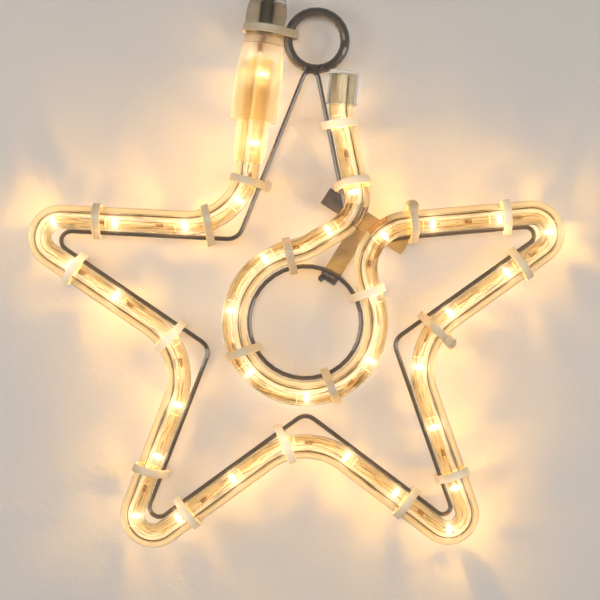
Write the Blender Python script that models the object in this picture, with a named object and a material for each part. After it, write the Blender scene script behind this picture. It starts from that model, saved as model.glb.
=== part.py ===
"""A wall-hung star of bent steel wire with a lit clear rope tied along it.

Metres, +Z up. The star hangs in the XZ plane and faces -Y. The origin is the inner top of the
hanging ring, where a hook or a screw carries the whole light. Every piece of the wire frame is
welded, and the rope is held on it by cable ties, so nothing here moves.
"""

import math

import bmesh
import bpy
from mathutils import Matrix, Vector

for old in list(bpy.data.objects):
    bpy.data.objects.remove(old, do_unlink=True)

# Room left between pieces that touch, and how far a chord may stand off its arc.
GAP = 0.0003
CHORD_ERROR = 0.0001

# The wire frame. Corners are where straight legs would meet, as shares of the span from the
# left tip's corner to the right tip's, measured from the apex corner, to the right and up.
STAR_SPAN = 0.2238
WIRE = 0.002
WIRE_BENDS = (0.0066, 0.0042, 0.0056, 0.0042, 0.0056, 0.0033, 0.0056, 0.0037)
APEX_BEND = 0.0034
APEX_ASIDE = -0.0015
corner_shares = (
    (-0.1444, -0.3614),
    (-0.5323, -0.3419),
    (-0.1975, -0.5697),
    (-0.3369, -0.9293),
    (-0.0141, -0.6952),
    (0.2799, -0.9172),
    (0.1542, -0.5564),
    (0.4676, -0.3323),
)
right_end_share = (0.1486, -0.3593)
top_end_share = (0.0608, -0.2973)

# The hanging ring, whose lowest point is welded behind the apex.
RING_EYE = 0.0207
RING_ROD = 0.0041
APEX_DROP = 0.0013

# The centre ring, and the two flat bars that tie it to the open corner of the star.
CENTRE_RING = 0.0504
centre_share = (-0.0152, -0.5208)
BAR_LENGTH = 0.0412
BAR_WIDTH = 0.0077
BAR_THICKNESS = 0.002
BAR_TILT = math.radians(-32.8)
bar_middle_share = 0.46
LINK_OVERSHOOT = 0.0042

# The rope: a clear tube with a channel for the lamps. It lies outside the star's legs and
# outside the centre ring, and rides over the bars where it passes from one to the other.
ROPE = 0.0105
ROPE_BORE = 0.0068
ROPE_BENDS = (0.026, 0.0089, 0.0284, 0.009, 0.0284, 0.0082, 0.0284, 0.0089)
ROPE_TOP_BEND = 0.013
ROPE_FORWARD = 0.003
FORWARD_RUN = 0.03
arm_left_at_share = 0.70
arm_met_at_share = 0.41
RIDE_SLACK = 0.0011
RIDE_RAMP = 0.012
RIDE_STEP = 0.005
ONTO_RING_BEND = 0.0196
OFF_RING_BEND = 0.026
OFF_RING_RUN = 0.0078
OFF_BARS_BEND = 0.016
OFF_BARS_RUN = 0.0052
RING_JOINED_AT = math.radians(18.2)
RING_LEFT_AT = math.radians(-256.1)

# What the rope holds: lamps on a fixed pitch, a resistor after every third one, two feed wires.
# Their places across the channel are shares of its radius, to the right of the way and forward.
LAMPS = 36
LAMP_PITCH = 0.0273
FIRST_LAMP = 0.006
LAMP_LENGTH = 0.005
LAMP_DIAMETER = 0.0028
RESISTOR_LENGTH = 0.0056
RESISTOR_DIAMETER = 0.0018
LAMPS_PER_RESISTOR = 3
LAMP_LEAD = 0.0006
BEAD_EDGE = 0.0002
lamp_aside_share = -0.33
feed_aside_share = 0.3
feed_forward_share = 0.6
FEED_WIRE = 0.0008
FEED_SETBACK = 0.0036

# Cable ties. A row for the star is the leg of its wire, counted from the top arm's free end, the
# share of that leg at which the tie holds it, and the side of the bundle that its head sits on.
# A row for the centre ring has the angle round the ring instead.
TIE_WIDTH = 0.0035
TIE_THICKNESS = 0.0011
TIE_HEAD_LENGTH = 0.005
TIE_HEAD_WIDTH = 0.0048
TIE_HEAD_HEIGHT = 0.0034
TIE_HEAD_LIFT = 0.0001
TIE_SLACK = 0.0009
FAR_ARC_STEPS = 9
NEAR_ARC_STEPS = 3
star_tie_rows = (
    (1, 0.7142, "near"),
    (2, 0.1232, "back"),
    (2, 0.7008, "back"),
    (3, 0.2554, "back"),
    (3, 0.8369, "back"),
    (4, 0.6784, "back"),
    (5, 0.2566, "back"),
    (5, 0.8589, "back"),
    (6, 0.6991, "back"),
    (7, 0.2655, "back"),
    (8, 0.1842, "far"),
    (8, 0.7379, "back"),
    (9, 0.2958, "back"),
    (9, 0.8416, "far"),
)
top_tie_rows = (
    (0, 0.1586, "back"),
    (0, 0.5526, "back"),
)
centre_tie_rows = (
    (math.radians(21.84), "back"),
    (math.radians(-67.89), "back"),
    (math.radians(-154.43), "back"),
    (math.radians(102.79), "back"),
)

# The power connector on the start of the rope, from its sleeve up to the strain relief.
SLEEVE_END = 0.0127
SLEEVE = 0.0143
SLEEVE_TAPER = 0.006
SLEEVE_FREE = 0.002
SLEEVE_LENGTH = 0.033
BARREL = 0.0203
BARREL_RIM = 0.0199
BARREL_TOP = 0.0176
BARREL_WALL = 0.0014
BARREL_SHOULDER = 0.0055
BARREL_FREE = 0.005
BARREL_LIP = 0.0012
BARREL_TOP_FREE = 0.0009
NECK_FOOT = 0.0168
NECK_SEAT = 0.0162
NECK_SEAT_RISE = 0.0004
NECK_SEAT_LENGTH = 0.0044
NECK_HEAD = 0.018
NECK_HEAD_LENGTH = 0.0075
NECK_TOP = 0.0166
ROPE_END_DEPTH = 0.0064
STRAIN_RELIEF = 0.0162
STRAIN_RELIEF_TIP = 0.0105
STRAIN_RELIEF_LENGTH = 0.014
STRAIN_RELIEF_RIBS = 3
RIB_DEPTH = 0.0008
PIN = 0.0009
PIN_CRIMP = 0.0022
PIN_REACH = 0.003
PIN_CRIMP_LENGTH = 0.003
CORE = 0.0021
CORE_SPACING = 0.0026

# The end cap.
END_CAP = 0.0132
END_CAP_LENGTH = 0.0148
END_CAP_WALL = 0.0021
END_CAP_ROUND = 0.002
END_CAP_ROUND_STEPS = 3
END_CAP_LEAN = math.radians(4)

# The power cord: a round jacketed lead, coiled above the star and ending in a flat plug.
CORD = 0.006
COIL_EYE = 0.046
COIL_TURNS = 6
COIL_CLIMB = 0.5
coil_step_share = 1.25
layer_step_share = 1.18
POINTS_PER_TURN = 24
COIL_START = (0.0115, 0.0, 0.042)
COIL_TIE_WIDTH = 0.005
COIL_TIE_THICKNESS = 0.001
COIL_TIE_CORNER_STEPS = 3
CORD_STEP = 0.008
TAIL_ROUTE = (
    (0.0000, 0.0000, 0.0180),
    (-0.0035, -0.0010, 0.0360),
    (-0.0150, -0.0030, 0.0510),
    (-0.0310, -0.0040, 0.0530),
    (-0.0440, -0.0045, 0.0440),
    (-0.0500, -0.0050, 0.0290),
)
PLUG_PLACE = (-0.0510, -0.0050, 0.0160)
PLUG_WIDTH = 0.0353
PLUG_THICKNESS = 0.0137
PLUG_LENGTH = 0.036
PLUG_NECK = 0.0105
plug_shoulder_share = 0.4
PLUG_ROUND = 0.0015
PLUG_PIN = 0.004
PLUG_PIN_LENGTH = 0.019
PLUG_PIN_SPACING = 0.0186

# Facets
TURNED_SIDES = 24
SMALL_SIDES = 6
SMOOTH_ANGLE = math.radians(40)
WELD = 0.000001


# Making objects


def material(name, colour, roughness, metallic=0.0, clear=0.0, glow=0.0):
    made = bpy.data.materials.new(name)
    made.use_nodes = True
    shader = made.node_tree.nodes["Principled BSDF"]
    shader.inputs["Base Color"].default_value = (*colour, 1)
    shader.inputs["Roughness"].default_value = roughness
    shader.inputs["Metallic"].default_value = metallic
    shader.inputs["Transmission Weight"].default_value = clear
    shader.inputs["Emission Color"].default_value = (*colour, 1)
    shader.inputs["Emission Strength"].default_value = glow
    made.diffuse_color = (*colour, 1)
    return made


def link(name, data, look):
    data.materials.clear()
    data.materials.append(look)
    made = bpy.data.objects.new(name, data)
    bpy.context.scene.collection.objects.link(made)
    return made


def place(name, mesh, look):
    """An object of this mesh, shaded smooth with its sharp edges kept."""
    mesh.shade_smooth()
    mesh.set_sharp_from_angle(angle=SMOOTH_ANGLE)
    return link(name, mesh, look)


def mesh_from(bm, name):
    bmesh.ops.recalc_face_normals(bm, faces=bm.faces)
    mesh = bpy.data.meshes.new(name)
    bm.to_mesh(mesh)
    bm.free()
    return mesh


def tube(name, line, diameter, resolution, look, cyclic=False, sizes=None):
    """A curve object that sweeps a round section along a line of points.

    Given sizes, one a point, the section has that diameter there instead.
    """
    curve = bpy.data.curves.new(name, "CURVE")
    curve.dimensions = "3D"
    curve.bevel_depth = diameter / 2
    curve.bevel_resolution = resolution
    curve.use_fill_caps = not cyclic
    spline = curve.splines.new("POLY")
    spline.points.add(len(line) - 1)
    for point, at, size in zip(spline.points, line, sizes or [diameter] * len(line)):
        point.co = (*at, 1)
        point.radius = size / diameter
    spline.use_cyclic_u = cyclic
    spline.use_smooth = True
    return link(name, curve, look)


def as_mesh(curve_object):
    """The mesh of a curve object, which this takes out of the scene."""
    seen = curve_object.evaluated_get(bpy.context.evaluated_depsgraph_get())
    mesh = bpy.data.meshes.new_from_object(seen)
    mesh.name = curve_object.name
    bpy.data.objects.remove(curve_object, do_unlink=True)
    return mesh


def cut(target, cutter):
    """Takes the cutter's shape out of the target, and leaves the cutter out of the model."""
    cutter.hide_render = True
    cutter.display_type = "WIRE"
    change = target.modifiers.new("cut", "BOOLEAN")
    change.operation = "DIFFERENCE"
    change.solver = "EXACT"
    change.object = cutter


def turned_piece(name, profile, frame, sides, look, closed=True):
    """An object that turns a profile of (radius, height) about the frame's Z.

    A closed profile makes a piece with a bore, and an open one starts and ends on the axis.
    """
    bm = bmesh.new()
    line = [bm.verts.new((radius, 0, height)) for radius, height in profile]
    pairs = list(zip(line, line[1:])) + ([(line[-1], line[0])] if closed else [])
    edges = [bm.edges.new(pair) for pair in pairs]
    turn = {"cent": (0, 0, 0), "axis": (0, 0, 1), "angle": 2 * math.pi, "steps": sides}
    bmesh.ops.spin(bm, geom=line + edges, use_merge=True, **turn)
    bmesh.ops.remove_doubles(bm, verts=bm.verts, dist=WELD)
    bmesh.ops.transform(bm, matrix=frame, verts=bm.verts)
    return place(name, mesh_from(bm, name), look)


# Plane geometry


def right_of(along):
    """The unit vector to the right of a heading, in the star's plane."""
    return Vector((along.y, -along.x)).normalized()


def on_circle(middle, radius, angle):
    return middle + radius * Vector((math.cos(angle), math.sin(angle)))


def crossing(a, b, c, d):
    """Where the line through a and b meets the line through c and d."""
    along, other = b - a, d - c
    return a + along * ((c - a).cross(other) / along.cross(other))


def chord_angle(radius):
    """The widest step round an arc whose chord stays within the allowed error."""
    return 2 * math.acos(1 - CHORD_ERROR / radius)


def arc(middle, radius, start, end):
    """The points of a circle's arc between two angles, both ends included."""
    count = max(2, math.ceil(abs(end - start) / chord_angle(radius)))
    angles = (start + (end - start) * k / count for k in range(count + 1))
    return [on_circle(middle, radius, angle) for angle in angles]


def fillet(before, corner, after, radius):
    """The points of an arc of this radius that rounds the corner between its neighbours."""
    into = (corner - before).normalized()
    out = (after - corner).normalized()
    turn = into.angle(out)
    start = corner - into * radius * math.tan(turn / 2)
    aside = (out - into * into.dot(out)).normalized()
    middle = start + aside * radius
    count = max(2, math.ceil(turn / chord_angle(radius)))
    angles = (turn * k / count for k in range(count + 1))
    return [middle + radius * (into * math.sin(a) - aside * math.cos(a)) for a in angles]


def rounded(corners, bends):
    """A line through these corners, with its ends kept and each corner bent to its radius."""
    points = [corners[0]]
    for before, corner, after, bend in zip(corners, corners[1:], corners[2:], bends):
        points += fillet(before, corner, after, bend)
    return points + [corners[-1]]


def off_bar(point, bar):
    """How far a point lies from a bar's outline in the star's plane, zero over the bar."""
    start, end, width = bar
    along = (end - start).normalized()
    past = (point - start).dot(along)
    out = max(-past, past - (end - start).length, 0)
    aside = max(abs((point - start).cross(along)) - width / 2, 0)
    return math.hypot(out, aside)


def eased(share):
    """A smooth rise from 0 to 1 as the share does."""
    share = min(max(share, 0), 1)
    return share * share * (3 - 2 * share)


# Lines in space


def at_depth(points, depth):
    return [Vector((point.x, depth, point.y)) for point in points]


def run_length(line):
    return sum((b - a).length for a, b in zip(line, line[1:]))


def along(line, distance):
    """The place and the heading at this distance from a line's start."""
    for a, b in zip(line, line[1:]):
        step = (b - a).length
        if distance <= step:
            break
        distance -= step
    else:
        distance += step
    return a + (b - a) * (distance / step), (b - a).normalized()


def axes_at(heading):
    """The unit vectors to the right of a heading and forward of it, towards the viewer."""
    aside = Vector((heading.z, 0, -heading.x)).normalized()
    return aside, aside.cross(heading).normalized() * math.copysign(1, heading.cross(aside).y)


def beside(line, aside_by, forward_by):
    """A line that keeps the same place across the way of another one."""
    moved = []
    for k, point in enumerate(line):
        heading = (line[min(k + 1, len(line) - 1)] - line[max(k - 1, 0)]).normalized()
        aside, forward = axes_at(heading)
        moved.append(point + aside * aside_by + forward * forward_by)
    return moved


def smooth_through(route, step):
    """Points about a step apart on a smooth curve through every point of the route."""
    points = []
    padded = [2 * route[0] - route[1], *route, 2 * route[-1] - route[-2]]
    for a, b, c, d in zip(padded, padded[1:], padded[2:], padded[3:]):
        count = max(1, round((c - b).length / step))
        for k in range(count):
            t = k / count
            bend = a * (2 * t * t - t**3 - t) + b * (3 * t**3 - 5 * t * t + 2)
            bend += c * (4 * t * t - 3 * t**3 + t) + d * (t**3 - t * t)
            points.append(bend / 2)
    return points + [route[-1]]


def upright_along(origin, heading):
    """A matrix that stands a turned piece's Z on this heading at this place."""
    return Matrix.Translation(origin) @ heading.to_track_quat("Z", "Y").to_matrix().to_4x4()


# The frame's places, in the star's plane as (x, z)

rope_beside_wire = ROPE / 2 + WIRE / 2 + GAP
rope_off_wire = math.sqrt(rope_beside_wire**2 - ROPE_FORWARD**2)
ring_line = (RING_EYE + RING_ROD) / 2
ring_middle = Vector((0, -RING_EYE / 2))
star_forward = math.sqrt((RING_ROD / 2 + WIRE / 2 + GAP) ** 2 - APEX_DROP**2)
star_y = -star_forward
bar_front_y = star_y + WIRE / 2 + GAP


def apex_place():
    """The corner above which the bent wire's top comes just under the ring's lowest rod."""
    left, right = Vector(corner_shares[0]), Vector(top_end_share)
    upward = -(left.normalized() + right.normalized()).normalized()
    nose = APEX_BEND / math.sin(left.angle(right) / 2) - APEX_BEND
    return Vector((APEX_ASIDE, ring_middle.y - ring_line - APEX_DROP + nose * upward.y))


apex = apex_place()
corners = [apex + STAR_SPAN * Vector(share) for share in corner_shares]
right_end = apex + STAR_SPAN * Vector(right_end_share)
top_end = apex + STAR_SPAN * Vector(top_end_share)
middle = apex + STAR_SPAN * Vector(centre_share)
wire_stops = [top_end, apex, *corners, right_end]
centre_line = (CENTRE_RING - WIRE) / 2
bar_middle = top_end + (right_end - top_end) * bar_middle_share
bar_along = on_circle(Vector((0, 0)), 1, BAR_TILT)
link_along = right_of(bar_along)


def cross_bar_ends():
    half = bar_along * BAR_LENGTH / 2
    return bar_middle - half, bar_middle + half


def link_bar_ends():
    """From the cross bar's edge to a little inside the centre ring."""
    ahead = (middle - bar_middle).dot(link_along)
    aside = (middle - bar_middle).cross(link_along)
    reach = ahead - math.sqrt(centre_line**2 - aside**2) + LINK_OVERSHOOT
    return bar_middle + link_along * (BAR_WIDTH / 2 + GAP), bar_middle + link_along * reach


BARS = ((*cross_bar_ends(), BAR_WIDTH), (*link_bar_ends(), BAR_WIDTH))


# The connector's axis starts at the corner where the rope leaves the arm, and passes the
# hanging ring as near as the neck allows.


def line_past_ring(radius):
    """How far from the ring's middle a round body of this radius has to keep its axis."""
    apart = math.sqrt((radius + RING_ROD / 2 + GAP) ** 2 - star_forward**2)
    return ring_line + apart


def shifted_leg(start, end, distance):
    """A leg of the star moved out to where the rope lies."""
    out = right_of(end - start) * distance
    return start + out, end + out


first_leg = shifted_leg(apex, corners[0], rope_beside_wire)
arm_left = first_leg[0] + (first_leg[1] - first_leg[0]) * arm_left_at_share
ring_pass = line_past_ring(NECK_FOOT / 2)


def connector_heading():
    """The way from the rope's corner that just touches the circle it has to keep off."""
    to_ring = ring_middle - arm_left
    spread = math.asin(ring_pass / to_ring.length)
    return on_circle(Vector((0, 0)), 1, math.atan2(to_ring.y, to_ring.x) + spread)


axis_up = connector_heading()
pass_at = (ring_middle - arm_left).dot(axis_up)
leg_spread = abs(axis_up.cross((first_leg[1] - first_leg[0]).normalized()))


def clear_of_leg(radius):
    """How far up the axis a round body of this radius comes free of the star's leg."""
    return (radius + WIRE / 2 + GAP - rope_beside_wire) / leg_spread


def clear_of_ring(radius):
    """How far from its nearest pass a round body of this radius comes free of the ring."""
    return math.sqrt(line_past_ring(radius) ** 2 - ring_pass**2)


sleeve_foot = clear_of_leg(SLEEVE_END / 2) + SLEEVE_FREE
sleeve_head = sleeve_foot + SLEEVE_LENGTH
barrel_foot = clear_of_leg(BARREL / 2) + BARREL_FREE
barrel_head = pass_at - clear_of_ring(BARREL_TOP / 2) - BARREL_TOP_FREE
rope_start = barrel_head - ROPE_END_DEPTH
seat_foot = pass_at + NECK_SEAT_RISE
seat_head = seat_foot + NECK_SEAT_LENGTH
neck_widest = pass_at + clear_of_ring(NECK_HEAD / 2)
neck_head = neck_widest + NECK_HEAD_LENGTH
relief_foot = neck_head + GAP
relief_head = relief_foot + STRAIN_RELIEF_LENGTH
axis_heading = Vector((axis_up.x, 0, axis_up.y))


def on_axis(distance, forward=0.0):
    point = arm_left + axis_up * distance
    return Vector((point.x, star_y - forward, point.y))


def axis_frame(distance=0.0):
    return upright_along(on_axis(distance), axis_heading)


# The rope's way


def star_legs():
    stops = [*corners, right_end]
    rest = [shifted_leg(start, end, rope_off_wire) for start, end in zip(stops, stops[1:])]
    return [first_leg, *rest]


def top_leg():
    """The line beside the top arm's right leg, from the bars up."""
    return shifted_leg(top_end, apex, rope_beside_wire)


def cap_corner():
    foot, head = top_leg()
    return head + (foot - head) * arm_met_at_share


def cap_heading():
    return Vector((math.sin(END_CAP_LEAN), math.cos(END_CAP_LEAN)))


def cap_top():
    """Where the cap's rounded end just clears the hanging ring, on the rope's last stretch."""
    corner, heading = cap_corner(), cap_heading()
    near = corner.x - ring_middle.x - (END_CAP / 2 - END_CAP_ROUND)
    reach = ring_line + RING_ROD / 2 + END_CAP_ROUND + GAP
    height = ring_middle.y - math.sqrt(reach**2 - near**2) + END_CAP_ROUND
    return corner + heading * ((height - corner.y) / heading.y)


def rope_plan():
    """The rope's line in the star's plane, from inside the connector to the end cap."""
    legs = star_legs()
    turns = [crossing(*one, *two) for one, two in zip(legs, legs[1:])]
    line = centre_line + rope_beside_wire
    joined, left = on_circle(middle, line, RING_JOINED_AT), on_circle(middle, line, RING_LEFT_AT)
    onto = crossing(*legs[-1], joined, joined + right_of(middle - joined))
    off = left + right_of(left - middle) * OFF_RING_RUN
    foot, head = top_leg()
    over = foot - (head - foot).normalized() * OFF_BARS_RUN
    end = cap_top() - cap_heading() * END_CAP_WALL
    to_ring = rounded(
        [arm_left + axis_up * rope_start, arm_left, *turns, onto, joined],
        [ROPE_TOP_BEND, *ROPE_BENDS, ONTO_RING_BEND],
    )
    to_cap = rounded(
        [left, off, over, cap_corner(), end],
        [OFF_RING_BEND, OFF_BARS_BEND, ROPE_TOP_BEND],
    )
    return to_ring[:-1] + arc(middle, line, RING_JOINED_AT, RING_LEFT_AT) + to_cap[1:]


def rope_line():
    """The rope's way in space: it comes forward off the connector, and more so over the bars."""
    level = star_y - ROPE_FORWARD
    rise = bar_front_y - ROPE / 2 - GAP - RIDE_SLACK - level
    line, covered = [], 0.0
    plan = rope_plan()
    for start, end in zip(plan, plan[1:]):
        near = min(off_bar(point, bar) for point in (start, end) for bar in BARS)
        changing = near < RIDE_RAMP or 0 < covered - rope_start < FORWARD_RUN
        count = math.ceil((end - start).length / RIDE_STEP) if changing else 1
        for k in range(count):
            point = start + (end - start) * (k / count)
            apart = min(off_bar(point, bar) for bar in BARS)
            forward = ROPE_FORWARD * eased((covered - rope_start) / FORWARD_RUN)
            depth = star_y - forward + rise * eased(1 - apart / RIDE_RAMP)
            line.append(Vector((point.x, depth, point.y)))
            covered += (end - start).length / count
    return line + at_depth(plan[-1:], level)


# Pieces of the frame


def make_frame(steel):
    wire_line = at_depth(rounded(wire_stops, [APEX_BEND, *WIRE_BENDS]), star_y)
    centre_circle = at_depth(arc(middle, centre_line, 0, 2 * math.pi)[:-1], star_y)
    ring_circle = at_depth(arc(ring_middle, ring_line, 0, 2 * math.pi)[:-1], 0)
    tube("star_wire", wire_line, WIRE, 2, steel)
    tube("centre_ring", centre_circle, WIRE, 2, steel, cyclic=True)
    tube("hanging_ring", ring_circle, RING_ROD, 3, steel, cyclic=True)
    make_bar("cross_bar", *BARS[0], steel)
    make_bar("link_bar", *BARS[1], steel)
    return ring_circle + ring_circle[:1]


def make_bar(name, start, end, width, look):
    """A flat strip behind the wires, from start to end along its middle."""
    bm = bmesh.new()
    heading = end - start
    turn = Matrix.Rotation(-math.atan2(heading.y, heading.x), 4, "Y")
    centre = (start + end) / 2
    back = Vector((centre.x, bar_front_y + BAR_THICKNESS / 2, centre.y))
    size = Matrix.Diagonal((heading.length, BAR_THICKNESS, width, 1))
    bmesh.ops.create_cube(bm, size=1, matrix=Matrix.Translation(back) @ turn @ size)
    return place(name, mesh_from(bm, name), look)


# Pieces of the rope


def make_rope(line, clear):
    rope = place("rope_tube", as_mesh(tube("rope_tube", line, ROPE, 3, clear)), clear)
    start, heading = line[0], (line[0] - line[1]).normalized()
    end, tail = line[-1], (line[-1] - line[-2]).normalized()
    through = [start + heading * ROPE, *line[1:-1], end + tail * ROPE]
    cutter = tube("rope_channel", through, ROPE_BORE, 1, clear)
    cut(rope, place("rope_channel", as_mesh(cutter), clear))
    return rope


def lamp_distance(pitches):
    return FIRST_LAMP + pitches * LAMP_PITCH


def bead(distance, length, size, nose):
    """(distance, size) pairs for a bead on the lamp string, its last stretch tapered."""
    start, end = distance - length / 2, distance + length / 2
    return [(start, LAMP_LEAD), (start + BEAD_EDGE, size), (end - nose, size), (end, LAMP_LEAD)]


def make_lamp_string(line, glowing):
    """The lamps and resistors in one string on their leads, threaded along the channel."""
    beads = [
        bead(lamp_distance(k), LAMP_LENGTH, LAMP_DIAMETER, LAMP_DIAMETER / 2) for k in range(LAMPS)
    ]
    for k in range(1, LAMPS - 1, LAMPS_PER_RESISTOR):
        beads.append(bead(lamp_distance(k + 1 / 2), RESISTOR_LENGTH, RESISTOR_DIAMETER, BEAD_EDGE))
    covered = [run_length(line[: k + 1]) for k in range(len(line))]
    first, last = beads[0][0][0], beads[LAMPS - 1][-1][0]
    bends = [at for at in covered if first < at < last]
    free = [at for at in bends if all(not one[0][0] <= at <= one[-1][0] for one in beads)]
    stops = sorted([(at, LAMP_LEAD) for at in free] + [stop for one in beads for stop in one])
    points = []
    for at, _ in stops:
        point, heading = along(line, at)
        points.append(point + axes_at(heading)[0] * (lamp_aside_share * ROPE_BORE / 2))
    sizes = [size for _, size in stops]
    tube("lamp_string", points, LAMP_LEAD, 1, glowing, sizes=sizes)


def make_feed_wires(line, tinned):
    """Two bare feed wires in the channel, in front of the lamps and behind them."""
    start, end = FEED_SETBACK, run_length(line) - FEED_WIRE
    covered, kept = 0.0, []
    for a, b in zip(line, line[1:]):
        covered += (b - a).length
        if start < covered < end:
            kept.append(b)
    inner = [along(line, start)[0], *kept, along(line, end)[0]]
    aside, forward = (share * ROPE_BORE / 2 for share in (feed_aside_share, feed_forward_share))
    tube("feed_wire_front", beside(inner, aside, forward), FEED_WIRE, 0, tinned)
    tube("feed_wire_rear", beside(inner, aside, -forward), FEED_WIRE, 0, tinned)


# Cable ties


def loop_outline(apart, far, near):
    """The band's section round two circles: the far one at the origin, the near one along X."""
    lean = math.acos((far - near) / apart)
    far_step = (2 * math.pi - 2 * lean) / FAR_ARC_STEPS
    near_step = 2 * lean / NEAR_ARC_STEPS
    far_radius = far / math.cos(far_step / 2)
    near_radius = near / math.cos(near_step / 2)
    zero, other = Vector((0, 0)), Vector((apart, 0))
    wide = [on_circle(zero, far_radius, lean + far_step * k) for k in range(FAR_ARC_STEPS + 1)]
    tight = [on_circle(other, near_radius, near_step * k - lean) for k in range(NEAR_ARC_STEPS + 1)]
    return wide + tight


def make_tie(name, spot, heading, other, radii, head_side, nylon):
    """A band round two round pieces, with its head on the named side of the bundle."""
    toward = other - spot
    toward -= heading * toward.dot(heading)
    apart = toward.length
    toward.normalize()
    backward = heading.cross(toward)
    backward *= math.copysign(1, backward.y)
    inner = loop_outline(apart, *radii)
    outer = loop_outline(apart, *(radius + TIE_THICKNESS for radius in radii))
    count = len(outer)
    near_side = FAR_ARC_STEPS + 1 + NEAR_ARC_STEPS // 2
    seats = {"far": FAR_ARC_STEPS // 2, "near": near_side, "back": count - 1}

    def lift(flat):
        return spot + toward * flat.x + backward * flat.y - heading * (TIE_WIDTH / 2)

    bm = bmesh.new()
    inside, outside = ([bm.verts.new(lift(flat)) for flat in loop] for loop in (inner, outer))
    for k in range(count):
        after = (k + 1) % count
        bm.faces.new((inside[k], inside[after], outside[after], outside[k]))
    swept = bmesh.ops.extrude_face_region(bm, geom=bm.faces[:])["geom"]
    moved = [item for item in swept if isinstance(item, bmesh.types.BMVert)]
    bmesh.ops.translate(bm, verts=moved, vec=heading * TIE_WIDTH)
    from_flat, to_flat = outer[seats[head_side]], outer[(seats[head_side] + 1) % count]
    run = (to_flat - from_flat).normalized()
    seat = lift((from_flat + to_flat) / 2) + heading * (TIE_WIDTH / 2)
    length_way = toward * run.x + backward * run.y
    out_way = toward * run.y - backward * run.x
    raise_head(bm, seat, length_way, heading, out_way)
    return place(name, mesh_from(bm, name), nylon)


def raise_head(bm, seat, length_way, width_way, out_way):
    """Pulls the band's face at the seat out into the head, which is wider than the band."""
    face = min(bm.faces, key=lambda one: (one.calc_center_median() - seat).length)
    for height in (TIE_HEAD_LIFT, TIE_HEAD_HEIGHT):
        face = bmesh.ops.extrude_discrete_faces(bm, faces=[face])["faces"][0]
        for vert in face.verts:
            apart = vert.co - seat
            long = math.copysign(TIE_HEAD_LENGTH / 2, apart.dot(length_way))
            wide = math.copysign(TIE_HEAD_WIDTH / 2, apart.dot(width_way))
            vert.co = seat + length_way * long + width_way * wide + out_way * height


def across(spot, heading, line):
    """The nearest place where a line crosses the plane square to a heading."""
    found = []
    for a, b in zip(line, line[1:]):
        before, after = (a - spot).dot(heading), (b - spot).dot(heading)
        if before * after <= 0 and before != after:
            found.append(a + (b - a) * (before / (before - after)))
    return min(found, key=lambda point: (point - spot).length)


def nearest_on(line, place):
    """The point of a line that lies nearest to a place, and the heading there."""
    found = []
    for a, b in zip(line, line[1:]):
        way = b - a
        share = min(max((place - a).dot(way) / way.length_squared, 0), 1)
        found.append((a + way * share, way.normalized()))
    return min(found, key=lambda one: (one[0] - place).length)


def held_places():
    """Each tie's name, the place on the frame that it holds, and its head's side."""
    for kind, rows in (("star_tie", star_tie_rows), ("top_arm_tie", top_tie_rows)):
        for number, (leg, share, head_side) in enumerate(rows, 1):
            start, end = wire_stops[leg], wire_stops[leg + 1]
            yield f"{kind}_{number:02d}", start + (end - start) * share, head_side
    for number, (angle, head_side) in enumerate(centre_tie_rows, 1):
        yield f"centre_tie_{number:02d}", on_circle(middle, centre_line, angle), head_side


def make_ties(rope, ring_circle, nylon):
    rope_and_wire = (ROPE / 2 + GAP, WIRE / 2 + TIE_SLACK)
    for name, flat, head_side in held_places():
        held = at_depth([flat], star_y)[0]
        spot, heading = nearest_on(rope, held)
        make_tie(name, spot, heading, held, rope_and_wire, head_side, nylon)
    spot = on_axis((seat_foot + seat_head) / 2)
    held = across(spot, axis_heading, ring_circle)
    radii = (NECK_SEAT / 2 + GAP, RING_ROD / 2 + TIE_SLACK)
    make_tie("connector_tie", spot, axis_heading, held, radii, "back", nylon)


# The connector


def make_connector(frosted, clear, black):
    frame = axis_frame()
    lead_bore = CORD / 2 + GAP
    snug, sleeve_low, sleeve_out = ROPE / 2 + GAP, SLEEVE_END / 2, SLEEVE / 2
    sleeve = [
        (snug, sleeve_foot),
        (sleeve_low, sleeve_foot),
        (sleeve_out, sleeve_foot + SLEEVE_TAPER),
        (sleeve_out, sleeve_head),
        (snug, sleeve_head),
    ]
    turned_piece("connector_sleeve", sleeve, frame, TURNED_SIDES, frosted)
    rim, belly, crown = BARREL_RIM / 2, BARREL / 2, BARREL_TOP / 2
    shoulder, inside = barrel_head - BARREL_SHOULDER, belly - BARREL_WALL
    barrel = [
        (sleeve_out + GAP, barrel_foot),
        (rim, barrel_foot),
        (rim, barrel_foot + BARREL_LIP),
        (belly, (barrel_foot + shoulder) / 2),
        ((belly + crown) / 2, shoulder),
        (crown, barrel_head),
        (lead_bore, barrel_head),
        (lead_bore, barrel_head - BARREL_WALL),
        (crown - BARREL_WALL, barrel_head - BARREL_WALL),
        ((inside + crown - BARREL_WALL) / 2, shoulder),
        (inside - BARREL_WALL / 2, barrel_foot + BARREL_WALL),
        (sleeve_out + GAP, barrel_foot + BARREL_WALL),
    ]
    turned_piece("connector_barrel", barrel, frame, TURNED_SIDES, frosted)
    foot, seat, head, tip = (size / 2 for size in (NECK_FOOT, NECK_SEAT, NECK_HEAD, NECK_TOP))
    neck = [
        (lead_bore, barrel_head + GAP),
        (foot, barrel_head + GAP),
        (foot, seat_foot),
        (seat, seat_foot),
        (seat, seat_head),
        (foot, seat_head),
        (head, neck_widest),
        (tip, neck_head),
        (lead_bore, neck_head),
    ]
    turned_piece("connector_neck", neck, frame, TURNED_SIDES, frosted)
    turned_piece("strain_relief", relief_profile(lead_bore), frame, TURNED_SIDES, clear)
    top = relief_head - GAP
    jacket = [(0, pass_at), (CORD / 2, pass_at), (CORD / 2, top), (0, top)]
    turned_piece("lead_jacket", jacket, frame, 2 * SMALL_SIDES, black, closed=False)


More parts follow.
